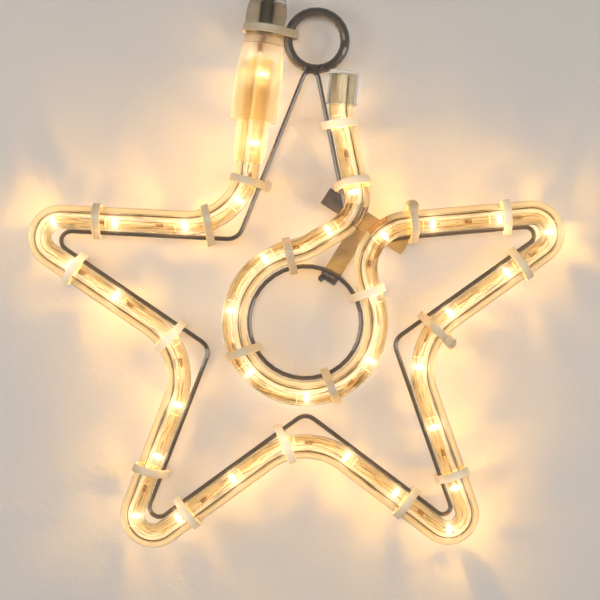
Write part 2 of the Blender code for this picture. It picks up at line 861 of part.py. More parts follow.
def relief_profile(bore):
    """A tapering sleeve with shallow grooves between its ribs."""
    foot, tip = STRAIN_RELIEF / 2, STRAIN_RELIEF_TIP / 2
    steps = 2 * STRAIN_RELIEF_RIBS
    outside = []
    for k in range(steps + 1):
        share = k / steps
        radius = foot + (tip - foot) * share - (RIB_DEPTH if k % 2 else 0)
        outside.append((radius, relief_foot + STRAIN_RELIEF_LENGTH * share))
    return [(bore, relief_foot), *outside, (bore, relief_head)]


def make_contacts(line, brass, brown, blue):
    """A pin into the rope for each feed wire, and the lead's core that is crimped to it."""
    aside, forward = axes_at(-axis_heading)
    point, crimp = PIN / 2, PIN_CRIMP / 2
    shape = [
        (0, -PIN_REACH),
        (point, -PIN_REACH),
        (point, 0),
        (crimp, PIN_CRIMP_LENGTH),
        (0, PIN_CRIMP_LENGTH),
    ]
    pairs = ((1, "front", "core_brown", brown), (-1, "rear", "core_blue", blue))
    for way, side, name, look in pairs:
        across_by = aside * (feed_aside_share * ROPE_BORE / 2)
        across_by += forward * (way * feed_forward_share * ROPE_BORE / 2)
        foot = line[0] + across_by
        frame = upright_along(foot, axis_heading)
        turned_piece(f"contact_pin_{side}", shape, frame, SMALL_SIDES, brass, closed=False)
        start = foot + axis_heading * (PIN_CRIMP_LENGTH + GAP)
        end = on_axis(pass_at - GAP) + forward * (way * CORE_SPACING / 2)
        upward = axis_heading * ((end - start).length / 3)
        route = [start, start + upward, end - upward, end]
        tube(name, smooth_through(route, CORE), CORE, 1, look)


def make_end_cap(frosted):
    heading = cap_heading()
    top = at_depth([cap_top()], star_y - ROPE_FORWARD)[0]
    out, bend, bore = END_CAP / 2, END_CAP_ROUND, ROPE / 2 + GAP
    steps = [math.pi / 2 * k / END_CAP_ROUND_STEPS for k in range(END_CAP_ROUND_STEPS + 1)]
    edge = [(out - bend + bend * math.cos(a), bend * math.sin(a) - bend) for a in steps]
    inner_top = GAP - END_CAP_WALL
    mouth = -END_CAP_LENGTH
    profile = [(0, inner_top), (bore, inner_top), (bore, mouth), (out, mouth), *edge, (0, 0)]
    frame = upright_along(top, Vector((heading.x, 0, heading.y)))
    turned_piece("end_cap", profile, frame, TURNED_SIDES, frosted, closed=False)


# The power cord


def coil_line(start):
    """The coil's way: in along the front layer, a half turn back, and out along the other."""
    step, layer = coil_step_share * CORD, layer_step_share * CORD
    turns_in = (COIL_TURNS - COIL_CLIMB) / 2
    least = (COIL_EYE + CORD) / 2
    widest = least + step * turns_in
    centre = Vector((start.x + widest, 0, start.z))
    line = []
    for k in range(COIL_TURNS * POINTS_PER_TURN + 1):
        turn = k / POINTS_PER_TURN
        past = max(turn - turns_in - COIL_CLIMB, 0)
        radius = least + step * (max(turns_in - turn, 0) + past)
        depth = start.y + layer * eased((turn - turns_in) / COIL_CLIMB)
        angle = math.pi - 2 * math.pi * turn
        line.append(centre + Vector((radius * math.cos(angle), depth, radius * math.sin(angle))))
    straight = Vector((0, 0, CORD))
    return [line[0] - straight, *line, line[-1] + straight]


def make_coil_tie(coil, look):
    """A strap round all of the coil's turns, on its side away from the plug."""
    held = coil[1 + POINTS_PER_TURN // 2 :: POINTS_PER_TURN]
    left, right = min(point.x for point in held), max(point.x for point in held)
    front, back = min(point.y for point in held), max(point.y for point in held)
    stops = ((right, front), (right, back), (left, back), (left, front))
    quarter, foot = math.pi / 2, held[0].z - COIL_TIE_WIDTH / 2
    bm = bmesh.new()
    loops = []
    for bend in (CORD / 2 + 2 * GAP, CORD / 2 + 2 * GAP + COIL_TIE_THICKNESS):
        loop = []
        for corner, stop in enumerate(stops):
            for k in range(COIL_TIE_CORNER_STEPS + 1):
                angle = quarter * (corner - 1 + k / COIL_TIE_CORNER_STEPS)
                loop.append(bm.verts.new((*on_circle(Vector(stop), bend, angle), foot)))
        loops.append(loop)
    inside, outside = loops
    for k, vert in enumerate(inside):
        after = (k + 1) % len(inside)
        bm.faces.new((vert, inside[after], outside[after], outside[k]))
    swept = bmesh.ops.extrude_face_region(bm, geom=bm.faces[:])["geom"]
    moved = [item for item in swept if isinstance(item, bmesh.types.BMVert)]
    bmesh.ops.translate(bm, verts=moved, vec=(0, 0, COIL_TIE_WIDTH))
    return place("coil_tie", mesh_from(bm, "coil_tie"), look)


def least_gap(line, diameter):
    """The least room between the coil's turns, leaving out each point's own stretch."""
    own = POINTS_PER_TURN // 2
    nearest = min((a - b).length for k, a in enumerate(line) for b in line[k + own :])
    return nearest - diameter


def make_cord(rubber):
    exit_place = on_axis(relief_head)
    coil_start = exit_place + Vector(COIL_START)
    coil = coil_line(coil_start)
    up = Vector((0, 0, CORD))
    lead_end = coil[0] - Vector((0, 0, GAP))
    lead = [exit_place, exit_place + axis_heading * CORD, lead_end - up, lead_end]
    tube("cord_lead", smooth_through(lead, CORD_STEP), CORD, 2, rubber)
    tube("cord_coil", coil, CORD, 1, rubber)
    make_coil_tie(coil, rubber)
    tail_start = coil[-1] + Vector((0, 0, GAP))
    route = [tail_start, *(tail_start + Vector(point) for point in TAIL_ROUTE)]
    plug_neck = tail_start + Vector(PLUG_PLACE)
    route += [plug_neck + up, plug_neck + Vector((0, 0, GAP))]
    tail = smooth_through(route, CORD_STEP)
    tube("cord_tail", tail, CORD, 2, rubber)
    length = sum(run_length(line) for line in (lead, coil, tail))
    room = least_gap(coil, CORD)
    print(f"cord {length:.3f} m from the strain relief to the plug")
    print(f"least gap between the coil's turns {room:.5f} m")
    return plug_neck


def make_plug(neck, rubber, brass):
    """A flat two-pin plug that hangs from the cord's end with its pins down."""
    half, thin = PLUG_WIDTH / 2, PLUG_NECK / 2
    shoulder = -PLUG_LENGTH * plug_shoulder_share
    side = [(thin, 0), (thin, shoulder / 2), (half, shoulder), (half, -PLUG_LENGTH)]
    outline = side + [(-x, z) for x, z in reversed(side)]
    bm = bmesh.new()
    front = [neck + Vector((x, -PLUG_THICKNESS / 2, z)) for x, z in outline]
    face = bm.faces.new([bm.verts.new(point) for point in front])
    swept = bmesh.ops.extrude_face_region(bm, geom=[face])["geom"]
    moved = [item for item in swept if isinstance(item, bmesh.types.BMVert)]
    bmesh.ops.translate(bm, verts=moved, vec=(0, PLUG_THICKNESS, 0))
    body = place("plug_body", mesh_from(bm, "plug_body"), rubber)
    rounding = body.modifiers.new("rounded edges", "BEVEL")
    rounding.width = PLUG_ROUND
    rounding.segments = 2
    radius, tip = PLUG_PIN / 2, PLUG_PIN / 4
    shape = [
        (0, GAP),
        (radius, GAP),
        (radius, PLUG_PIN_LENGTH - tip),
        (tip, PLUG_PIN_LENGTH),
        (0, PLUG_PIN_LENGTH),
    ]
    down = Vector((0, 0, -1))
    face_middle = neck + down * PLUG_LENGTH
    for name, way in (("plug_pin_left", -1), ("plug_pin_right", 1)):
        foot = face_middle + Vector((way * PLUG_PIN_SPACING / 2, 0, 0))
        turned_piece(name, shape, upright_along(foot, down), 2 * SMALL_SIDES, brass, closed=False)


def build():
    steel = material("dark powder-coated steel", (0.065, 0.058, 0.05), 0.38, metallic=0.6)
    clear = material("clear soft vinyl", (0.95, 0.88, 0.72), 0.12, clear=0.9)
    frosted = material("frosted vinyl", (0.85, 0.72, 0.5), 0.4, clear=0.6)
    nylon = material("natural nylon", (0.8, 0.72, 0.55), 0.4)
    glowing = material("lit lamps", (1, 0.78, 0.45), 0.3, glow=5.0)
    tinned = material("tinned copper", (0.6, 0.58, 0.55), 0.3, metallic=1.0)
    brass = material("plated brass", (0.6, 0.55, 0.45), 0.3, metallic=1.0)
    brown = material("brown core insulation", (0.16, 0.07, 0.03), 0.5)
    blue = material("blue core insulation", (0.03, 0.1, 0.3), 0.5)
    rubber = material("black rubber jacket", (0.012, 0.012, 0.012), 0.5)
    ring_circle = make_frame(steel)
    rope = rope_line()
    print(f"rope {run_length(rope):.4f} m, last lamp at {lamp_distance(LAMPS - 1):.4f} m")
    make_rope(rope, clear)
    make_lamp_string(rope, glowing)
    make_feed_wires(rope, tinned)
    make_ties(rope, ring_circle, nylon)
    make_connector(frosted, clear, rubber)
    make_contacts(rope, brass, brown, blue)
    make_end_cap(frosted)
    make_plug(make_cord(rubber), rubber, brass)


build()
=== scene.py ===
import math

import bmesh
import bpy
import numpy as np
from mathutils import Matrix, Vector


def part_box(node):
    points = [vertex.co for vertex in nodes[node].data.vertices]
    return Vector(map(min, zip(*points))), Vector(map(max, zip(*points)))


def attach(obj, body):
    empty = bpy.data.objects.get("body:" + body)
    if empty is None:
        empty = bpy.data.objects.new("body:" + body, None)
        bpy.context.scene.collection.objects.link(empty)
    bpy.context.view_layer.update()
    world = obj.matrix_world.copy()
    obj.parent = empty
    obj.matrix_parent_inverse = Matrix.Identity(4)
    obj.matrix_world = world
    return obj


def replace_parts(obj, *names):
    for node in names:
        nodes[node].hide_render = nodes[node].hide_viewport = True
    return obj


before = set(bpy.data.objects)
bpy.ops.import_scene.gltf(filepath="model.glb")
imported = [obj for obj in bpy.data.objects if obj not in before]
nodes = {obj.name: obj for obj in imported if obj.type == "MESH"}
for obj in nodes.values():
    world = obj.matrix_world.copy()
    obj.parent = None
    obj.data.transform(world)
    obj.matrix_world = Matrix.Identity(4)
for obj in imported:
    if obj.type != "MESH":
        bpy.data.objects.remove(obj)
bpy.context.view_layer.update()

# %% [markdown]
# # A rope-light star, from plain solids to a lit photograph
#
# The object is a wall star of bent steel wire. A clear vinyl rope light is tied along the wire
# and once round a small inner ring. The CAD model is already in place, in metres, with its hook
# point at the origin and its face towards -Y.
#
# This script dresses it. Shapes that the CAD has right keep their solids and get a finish.
# Shapes that need more than a solid can give, such as the see-through rope, are made again here
# on the same lines and stand in for the CAD's own.

MM = 0.001

# %% [markdown]
# ## The camera
#
# The photograph looks straight at the star from about three quarters of a metre. A camera could
# be aimed with a constraint, but a square-on view needs only one quarter turn about X. The lens
# follows from two measured numbers: how wide the picture is at the wire, and how far off it is.

# %% Camera
STAR_DEPTH = -3.09 * MM
VIEW_DISTANCE = 0.776
VIEW_WIDTH = 0.2586
VIEW_MIDDLE = (-7.15 * MM, -122.6 * MM)
SENSOR = 36.0

eye = bpy.data.cameras.new("eye")
eye.sensor_width = SENSOR
eye.lens = SENSOR * VIEW_DISTANCE / VIEW_WIDTH
camera = bpy.data.objects.new("eye", eye)
camera.location = (VIEW_MIDDLE[0], STAR_DEPTH - VIEW_DISTANCE, VIEW_MIDDLE[1])
camera.rotation_euler = (math.pi / 2, 0, 0)
bpy.context.scene.collection.objects.link(camera)
bpy.context.scene.camera = camera
print("lens", round(eye.lens, 1), "mm")

# %% [markdown]
# ## The power cord
#
# A 6 mm rubber lead leaves the connector's top. It is put away as one round coil on the wall
# above the picture, with its plug hanging beside it. The CAD cuts it into three solids. A real
# lead is one length, so here it gets one line on the same route. The line could be a curve object
# with a bevel. A tube swept in mesh code is used instead, so that lead and rope are made one way.

# %% The cord's one line
CORD = 6.0 * MM
CORD_EXIT = Vector((-19.20, -3.09, 19.39)) * MM
LEAD = ((-18.47, -3.09, 25.34), (-7.70, -3.09, 49.09))
COIL_START = Vector((-7.70, -3.09, 61.39)) * MM
COIL_TURNS, COIL_CLIMB, POINTS_PER_TURN = 6, 0.5, 24
COIL_LEAST, COIL_STEP, COIL_LAYER = 26.0 * MM, 7.5 * MM, 7.08 * MM
TAIL = (
    (-7.70, 3.99, 85.69), (-11.20, 2.99, 103.69), (-22.70, 0.99, 118.69),
    (-38.70, -0.01, 120.69), (-51.70, -0.51, 111.69), (-57.70, -1.01, 96.69),
    (-58.70, -1.01, 89.69), (-58.70, -1.01, 83.99),
)
CORD_STEP, CORD_RINGS, CORD_SIDES = 8 * MM, 3 * MM, 20


def eased(share):
    """A smooth rise from 0 to 1."""
    share = min(max(share, 0.0), 1.0)
    return share * share * (3 - 2 * share)


def smooth_through(route, step):
    """Points about a step apart on a smooth curve through every point of the route."""
    points = []
    padded = [2 * route[0] - route[1], *route, 2 * route[-1] - route[-2]]
    for a, b, c, d in zip(padded, padded[1:], padded[2:], padded[3:]):
        count = max(1, round((c - b).length / step))
        for k in range(count):
            t = k / count
            bend = a * (2 * t * t - t**3 - t) + b * (3 * t**3 - 5 * t * t + 2)
            points.append((bend + c * (4 * t * t - 3 * t**3 + t) + d * (t**3 - t * t)) / 2)
    return points + [route[-1]]


def coil_points():
    """In along the front layer, a half turn back, and out along the rear layer."""
    turns_in = (COIL_TURNS - COIL_CLIMB) / 2
    widest = COIL_LEAST + COIL_STEP * turns_in
    centre = Vector((COIL_START.x + widest, 0, COIL_START.z))
    points = []
    for k in range(COIL_TURNS * POINTS_PER_TURN + 1):
        turn = k / POINTS_PER_TURN
        past = max(turn - turns_in - COIL_CLIMB, 0)
        radius = COIL_LEAST + COIL_STEP * (max(turns_in - turn, 0) + past)
        depth = COIL_START.y + COIL_LAYER * eased((turn - turns_in) / COIL_CLIMB)
        angle = math.pi - 2 * math.pi * turn
        points.append(centre + Vector((radius * math.cos(angle), depth, radius * math.sin(angle))))
    return points


coil = coil_points()
lead = [CORD_EXIT, *(Vector(point) * MM for point in LEAD), coil[0] - Vector((0, 0, CORD))]
tail = [coil[-1] + Vector((0, 0, CORD)), *(Vector(point) * MM for point in TAIL)]
cord_line = smooth_through(lead, CORD_STEP) + coil + smooth_through(tail, CORD_STEP)

# %% [markdown]
# ## The rope's line
#
# Everything about the rope hangs on one line in space: the tube, its lamps, its wires and its
# ties. It could be drawn by hand as a curve. Here it is worked out as a bender would do it, from
# straight runs and a bend radius at each corner, because that is how the CAD has it and the two
# must agree. Places are (x, z) in millimetres in the star's plane.

# %% Bends and arcs
ROPE = 10.5 * MM
RING_MIDDLE = np.array((-4.90, -132.19))
RING_LINE = 30.75
TO_RING = (
    (-23.96, -19.15, 0), (-30.20, -69.82, 13.0), (-38.45, -90.45, 26.0), (-141.06, -85.29, 8.9),
    (-52.80, -145.34, 28.4), (-89.46, -239.91, 9.0), (-4.73, -178.46, 28.4),
    (72.96, -237.12, 8.2), (39.94, -142.35, 28.4), (123.77, -82.41, 8.9),
    (14.15, -91.69, 19.6), (24.31, -122.58, 0),
)
RING_SWEEP = (18.2, -256.1)
FROM_RING = (
    (-12.29, -102.34, 0), (-4.72, -100.46, 26.0), (19.57, -85.95, 16.0), (10.50, -41.60, 13.0),
    (11.58, -26.12, 0),
)
BEND_STEPS, RING_POINTS = 24, 120


def bent(corners):
    """A line through (x, z, bend) corners, each rounded to its own bend radius."""
    points = [np.array(corners[0][:2])]
    for before, here, after in zip(corners, corners[1:], corners[2:]):
        corner, radius = np.array(here[:2]), here[2]
        into = corner - before[:2]
        out = np.array(after[:2]) - corner
        into, out = into / np.hypot(*into), out / np.hypot(*out)
        turn = math.acos(np.clip(into @ out, -1, 1))
        side = out - into * (into @ out)
        side = side / np.hypot(*side)
        middle = corner - into * radius * math.tan(turn / 2) + side * radius
        for k in range(BEND_STEPS + 1):
            angle = turn * k / BEND_STEPS
            points.append(middle + radius * (into * math.sin(angle) - side * math.cos(angle)))
    return points + [np.array(corners[-1][:2])]


def circle_points(middle, radius, start, end, count):
    angles = np.radians(np.linspace(start, end, count))
    return [middle + radius * np.array((math.cos(a), math.sin(a))) for a in angles]


def resampled(points, step):
    """The same line, with its points a fixed step apart."""
    points = np.array(points)
    run = np.concatenate(([0], np.cumsum(np.linalg.norm(np.diff(points, axis=0), axis=1))))
    stops = np.linspace(0, run[-1], max(2, round(run[-1] / step)) + 1)
    return np.stack([np.interp(stops, run, column) for column in points.T], axis=1)


print("bends before the inner ring", len(TO_RING) - 2, "and after it", len(FROM_RING) - 2)

# %% The way over the bars
ROPE_LEVEL = -6.087 * MM
OVER_BARS = -8.437 * MM
BARS = (((3.83, -77.39), (38.46, -99.71)), ((18.90, -92.04), (4.43, -114.48)))
BAR_WIDTH = 7.7
RIDE_RAMP = 12.0
FORWARD_RUN = 30.0
ROPE_STEP = 1.25


def off_bars(point):
    """How far a place lies from the two flat bars, zero over them."""
    apart = []
    for start, end in BARS:
        start, way = np.array(start), np.subtract(end, start)
        length = np.hypot(*way)
        way = way / length
        past = (point - start) @ way
        aside = abs((point - start) @ np.array((way[1], -way[0]))) - BAR_WIDTH / 2
        apart.append(math.hypot(max(-past, past - length, 0), max(aside, 0)))
    return min(apart)


def rope_points(step):
    """The rope's middle line in metres, with the rise that takes it over the bars."""
    ring = circle_points(RING_MIDDLE, RING_LINE, *RING_SWEEP, RING_POINTS)
    plan = resampled(bent(TO_RING)[:-1] + ring + bent(FROM_RING)[1:], step)
    line = []
    for k, point in enumerate(plan):
        forward = eased(k * step / FORWARD_RUN)
        level = STAR_DEPTH + (ROPE_LEVEL - STAR_DEPTH) * forward
        rise = (OVER_BARS - ROPE_LEVEL) * eased(1 - off_bars(point) / RIDE_RAMP)
        line.append((point[0] * MM, level + rise, point[1] * MM))
    return np.array(line)


rope = rope_points(ROPE_STEP)
rope_run = np.concatenate(([0], np.cumsum(np.linalg.norm(np.diff(rope, axis=0), axis=1))))
print("rope", round(rope_run[-1], 4), "m in", len(rope), "points")

# %% [markdown]
# ## Sweeping a section along a line
#
# A curve's bevel can't carry a bore, a flat strip or values that change on the way, so the
# rope's pieces are swept in mesh code. At every point two directions are needed: to the right of
# the way in the star's plane, and forward to the viewer. As the rope hardly leaves one plane,
# these never twist.

# %% Directions and sections


def directions(line):
    """Unit vectors at each point: the way, to its right in the star's plane, and forward."""
    way = np.gradient(np.asarray(line), axis=0)
    way = way / np.linalg.norm(way, axis=1)[:, None]
    aside = np.stack([way[:, 2], np.zeros(len(way)), -way[:, 0]], axis=1)
    aside = aside / np.linalg.norm(aside, axis=1)[:, None]
    forward = np.cross(aside, way)
    return way, aside, forward * -np.sign(forward[:, 1:2])


def round_section(diameter, sides):
    angles = np.arange(sides) * 2 * math.pi / sides
    return np.stack([np.cos(angles), np.sin(angles)], axis=1) * diameter / 2


def swept(line, section, aside_by=0.0, sizes=None):
    """Rings of points: the section set across the line, moved to its place beside it."""
    line = np.asarray(line)
    _, aside, forward = directions(line)
    sizes = np.ones(len(line)) if sizes is None else np.asarray(sizes)
    across = section[None, :, :] * sizes[:, None, None]
    across = across + np.array((aside_by, 0.0))
    rings = line[:, None, :] + across[:, :, :1] * aside[:, None, :]
    return rings + across[:, :, 1:] * forward[:, None, :]


print("the rope sets out along", directions(rope)[0][0].round(3))

# %% Faces over the rings


def side_faces(rings, sides, first=0, closed=False):
    """The four-sided faces from each ring of points to the next, and from the last to the first."""
    faces = []
    for k in range(rings if closed else rings - 1):
        here, beyond = first + k * sides, first + (k + 1) % rings * sides
        for j in range(sides):
            turn = (j + 1) % sides
            faces.append((here + j, here + turn, beyond + turn, beyond + j))
    return faces


def end_faces(count, sides):
    """The two flat ends of a row of rings with this many points in all."""
    return [tuple(range(sides))[::-1], tuple(range(count - sides, count))]


def closed_tube(line, section, **where):
    """A swept solid with both ends closed."""
    rings = swept(line, section, **where)
    points = rings.reshape(-1, 3)
    faces = side_faces(len(rings), len(section)) + end_faces(len(points), len(section))
    return points, faces


print("faces on a tube of 2 rings of 8", len(side_faces(2, 8)) + len(end_faces(16, 8)))

# %% Mesh pieces, and the cord


def bridge(bm, end, reach):
    """Closes a hollow tube's wall between the open edges that lie near one end."""
    near = []
    for edge in bm.edges:
        middle = (edge.verts[0].co + edge.verts[1].co) / 2
        if edge.is_boundary and (middle - Vector(end)).length < reach:
            near.append(edge)
    bmesh.ops.bridge_loops(bm, edges=near)


def mesh_piece(name, points, faces, looks, slot, sharp=180, face_looks=None, ends=()):
    """A smooth mesh object that rides on the frame, closed, with its faces turned outwards.

    Edges above sharp degrees stay crisp.
    """
    mesh = bpy.data.meshes.new(name)
    mesh.from_pydata([tuple(point) for point in points], [], faces)
    for look in looks:
        mesh.materials.append(look)
    if face_looks:
        mesh.polygons.foreach_set("material_index", face_looks)
    mesh.shade_smooth()
    bm = bmesh.new()
    bm.from_mesh(mesh)
    for end in ends:
        bridge(bm, end, ROPE)
    bmesh.ops.recalc_face_normals(bm, faces=bm.faces)
    bm.to_mesh(mesh)
    bm.free()
    if sharp < 180:
        mesh.set_sharp_from_angle(angle=math.radians(sharp))
    piece = bpy.data.objects.new(name, mesh)
    bpy.context.scene.collection.objects.link(piece)
    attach(piece, "root")
    return piece


fine_cord = resampled(smooth_through(cord_line, CORD_RINGS), CORD_RINGS)
cord_tube = closed_tube(fine_cord, round_section(CORD, CORD_SIDES))
cord = mesh_piece("power_cord", *cord_tube, [], "black_rubber", sharp=60)
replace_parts(cord, "cord_lead", "cord_coil", "cord_tail")
print("cord piece in", len(fine_cord), "rings")

# %% [markdown]
# ## Colours and nodes
#
# Colours are read off as sRGB hex values, but Blender's shaders work in linear light, so one
# function turns one into the other. Another adds a shader node with its settings and links, which
# keeps each material below short enough to read as a recipe.
#
# Nearly every finish here has the small unevenness that its making leaves, as relief, as a gloss
# that varies, or both, so one function gives that too. Real skins are finer than this picture can
# show, so most are drawn at 0.4 to 0.9 mm, as coarse as they need to be.

# %% Colour and node helpers


def linear(code):
    """An sRGB hex colour as linear RGBA."""
    parts = [int(code[k : k + 2], 16) / 255 for k in (1, 3, 5)]
    return (*(p / 12.92 if p <= 0.04045 else ((p + 0.055) / 1.055) ** 2.4 for p in parts), 1.0)


def feed(look, inputs, node="Principled BSDF"):
    """Feeds a node's inputs: another node's socket is linked, and any other value is set."""
    node = look.node_tree.nodes[node]
    for name, value in inputs.items():
        if isinstance(value, bpy.types.NodeSocket):
            look.node_tree.links.new(value, node.inputs[name])
        else:
            node.inputs[name].default_value = value


def add(look, kind, inputs, output=0, **settings):
    """Adds one node with its settings and links, and gives back one of its outputs."""
    node = look.node_tree.nodes.new("ShaderNode" + kind)
    for name, value in settings.items():
        setattr(node, name, value)
    feed(look, inputs, node.name)
    return node.outputs[output]


def finish(name, inputs):
    """A material whose one Principled shader starts with these values."""
    look = bpy.data.materials.new(name)
    look.use_nodes = True
    feed(look, inputs)
    return look


print("mid grey #808080 in linear light", tuple(round(v, 3) for v in linear("#808080")[:3]))

# %% Unevenness, fades and dressing
# Most of a noise's values lie between these two.
PATCHY = {"From Min": 0.3, "From Max": 0.7}


def per_mm(size):
    """The scale of a pattern whose features are this many millimetres, in object space."""
    return 1 / (size * MM)


def uneven(look, grain, depth=None, strength=1.0, gloss=None, detail=2.0, stretch=None):
    """What the making leaves on a surface: relief, roughness between two values, or both.

    Grain and depth are in millimetres. Stretch scales the pattern along X, Y and Z.
    """
    place = add(look, "TexCoord", {}, "Object")
    if stretch:
        place = add(look, "Mapping", {"Vector": place, "Scale": stretch})
    noise = add(look, "TexNoise", {"Vector": place, "Scale": per_mm(grain), "Detail": detail})
    if gloss:
        low, high = gloss
        rough = {"Value": noise, **PATCHY, "To Min": low, "To Max": high}
        feed(look, {"Roughness": add(look, "MapRange", rough)})
    if depth:
        bump = {"Height": noise, "Distance": depth * MM, "Strength": strength}
        feed(look, {"Normal": add(look, "Bump", bump)})


def fade(look, axis, start, end, low=0.0, high=1.0):
    """A value that goes from low to high between two places on an axis, in millimetres."""
    place = add(look, "SeparateXYZ", {"Vector": add(look, "TexCoord", {}, "Object")}, axis)
    between = {"From Min": start * MM, "From Max": end * MM, "To Min": low, "To Max": high}
    return add(look, "MapRange", {"Value": place, **between})


def two_tone(look, share, code, other_code):
    """A base colour that goes from one to the other by a share."""
    tones = {0: share, 6: linear(code), 7: linear(other_code)}
    feed(look, {"Base Color": add(look, "Mix", tones, 2, data_type="RGBA")})


def dress(look, *names):
    """Gives CAD nodes this finish."""
    for name in names:
        nodes[name].data.materials.clear()
        nodes[name].data.materials.append(look)


print("a grain of 1 mm has the scale", per_mm(1.0))

# %% [markdown]
# ## Steel with a powder coat
#
# The wires and rings are mild steel, bent, welded and powder coated dark grey. A powder coat is
# polyester, so it is not a metal to the eye: no coloured reflections, a satin sheen, and a fine
# orange peel. That peel is a bump of about 0.7 mm grain here, and a finer speckle varies the
# roughness, which breaks up the highlight along the wire.
#
# The two flat bars have only a thin lacquer on rolled strip, so they stay metallic. They could be
# one colour, but the lamps' light on them is painted in as gold where the lamps shine on them. It
# is left out up by the top arm and towards the weld on the inner ring, where they stay dark. Fades
# along the axes give that.

# %% Powder-coated and lacquered steel
powder = finish("polyester_powder_coat", {
    "IOR": 1.5, "Specular IOR Level": 0.45, "Specular Tint": linear("#ffe0c0"),
    "Coat Weight": 0.6, "Coat Roughness": 0.1, "Coat IOR": 1.9,
})
uneven(powder, 0.7, depth=0.02, strength=0.7)
uneven(powder, 0.25, gloss=(0.22, 0.4), detail=1.0)
place = add(powder, "TexCoord", {}, "Object")
cloud = add(powder, "TexNoise", {"Vector": place, "Scale": per_mm(20.0), "Detail": 2.0})
cloud = add(powder, "MapRange", {"Value": cloud, **PATCHY})
two_tone(powder, cloud, "#403b37", "#504a45")

strip = finish("lacquered_strip_steel", {"Metallic": 0.75})
uneven(strip, 0.5, depth=0.015, strength=0.5, gloss=(0.36, 0.5), stretch=(0.25, 1.0, 1.0))
# Painted lamp light: gold on the dark lacquer, left out up by the top arm and towards the inner
# ring's weld.
below_arm, clear_of_ring_weld = fade(strip, "Z", -82.0, -90.0), fade(strip, "Z", -112.3, -110.3)
painted_lamp_gold = add(strip, "Math", {0: below_arm, 1: clear_of_ring_weld}, operation="MULTIPLY")
low, right = fade(strip, "Z", -101.0, -107.0, low=0.4), fade(strip, "X", 15.0, 20.0)
lamplit = add(strip, "Math", {0: low, 1: right}, operation="MAXIMUM")
painted_lamp_gold = add(strip, "Math", {0: painted_lamp_gold, 1: lamplit}, operation="MULTIPLY")
two_tone(strip, painted_lamp_gold, "#41362e", "#826334")

dress(powder, "star_wire", "centre_ring", "hanging_ring")
dress(strip, "cross_bar", "link_bar")
for name in ("cross_bar", "link_bar"):
    rounding = nodes[name].modifiers.new("rolled edges", "BEVEL")
    rounding.width, rounding.segments = 0.35 * MM, 3
print("coated", powder.name, "and", strip.name)

# %% [markdown]
# ## Weld beads
#
# Where wire meets ring or bar, a weld has left a small ridge of ripples under the coat. A smooth
# blob would read as glue, so each bead is swept along its joint with a rippled, tapered radius,
# and its points are pushed about a little.

# %% Beads
wobble = np.random.default_rng(7)
RIPPLE, WOBBLE, BEAD_LEAST, BEAD_SIDES = 0.13, 0.03, 0.05, 12


def weld_bead(name, start, end, thickness, ripples):
    """A rippled ridge from start to end, in millimetres."""
    line = np.linspace(start, end, 6 * ripples + 1) * MM
    share = np.linspace(0, 1, len(line))
    sizes = np.sqrt(np.clip(1 - (2 * share - 1) ** 4, 0, 1))
    sizes = sizes * (1 + RIPPLE * np.cos(share * ripples * 2 * math.pi))
    section = round_section(thickness * MM, BEAD_SIDES)
    points, faces = closed_tube(line, section, sizes=np.maximum(sizes, BEAD_LEAST))
    points = points + wobble.normal(0, WOBBLE * thickness * MM, points.shape)
    return mesh_piece(name, points, faces, [powder], "frame_steel")


beads = [weld_bead("weld_" + name, *row) for name, *row in (
    ("ring_left", (-6.3, -2.0, -21.3), (-3.6, -2.1, -23.2), 2.2, 4),
    ("ring_right", (1.0, -2.1, -23.2), (3.6, -2.0, -21.9), 2.4, 4),
    ("top_end", (11.9, -2.6, -79.6), (12.6, -2.4, -84.6), 2.6, 5),
    ("right_end", (29.6, -2.4, -96.6), (35.2, -2.6, -95.9), 2.4, 5),
    ("inner_ring_high", (2.2, -2.6, -110.2), (8.6, -2.6, -113.8), 2.8, 5),
    ("inner_ring_low", (0.9, -1.9, -112.6), (3.0, -1.9, -114.0), 2.6, 3),
)]
print("weld beads", len(beads))

# %% [markdown]
# ## Clear vinyl
#
# The rope is extruded soft PVC, clear with a warm cast, 10.5 mm across. Its channel lies off the
# middle, towards the steel wire, so the outer wall is thick and shows as a pale yellow band. The
# tube could be one solid rod of glass with things inside, but light must cross a real wall to
# bend as it does here. So it is a wall with two surfaces, and the shader refracts. Soft vinyl
# would have an index of about 1.53. It is matched down to 1.28, where the bands come out as pale
# as they are on the real rope, whose wall also scatters the lamps' light.
#
# That scattered light is stored on the mesh, as two values from each point's distance to the
# lamps: a narrow one for the glare round each lamp, and a wide one for the wash between them.
# The lamps are strung by hand, so their distances along the rope are measured one by one.

# %% Where the lamps are
LAMP_RUNS = (
    6.3, 36.4, 61.4, 86.4, 116.4, 143.9, 172.6, 196.3, 225.0, 253.8, 277.5, 305.0, 332.5, 361.2,
    387.4, 413.7, 439.9, 468.6, 493.6, 521.1, 547.3, 573.6, 603.6, 631.0, 658.5, 687.2, 709.9,
    738.8, 767.5, 798.8, 825.0, 852.5, 878.7, 908.8, 931.4, 961.5,
)
RESISTOR_RUNS = (
    51.0, 97.6, 122.6, 178.8, 203.8, 236.3, 292.5, 346.2, 397.4, 453.7, 509.9, 559.8, 617.3,
    672.2, 725.0, 780.0, 837.5, 892.5, 949.0,
)
BORE, BORE_ASIDE = 6.4 * MM, -0.85 * MM
LAMP_ASIDE = -1.12 * MM
GLARE_REACH, WASH_REACH = 3.0 * MM, 11.0 * MM


def on_rope(distance, aside_by=0.0, forward_by=0.0):
    """The place and directions at a distance along the rope."""
    k = int(np.clip(np.searchsorted(rope_run, distance) - 1, 1, len(rope) - 3))
    share = (distance - rope_run[k]) / (rope_run[k + 1] - rope_run[k])
    way, aside, forward = (rows[1] for rows in directions(rope[k - 1 : k + 3]))
    place = rope[k] + (rope[k + 1] - rope[k]) * share
    return place + aside * aside_by + forward * forward_by, way, aside, forward


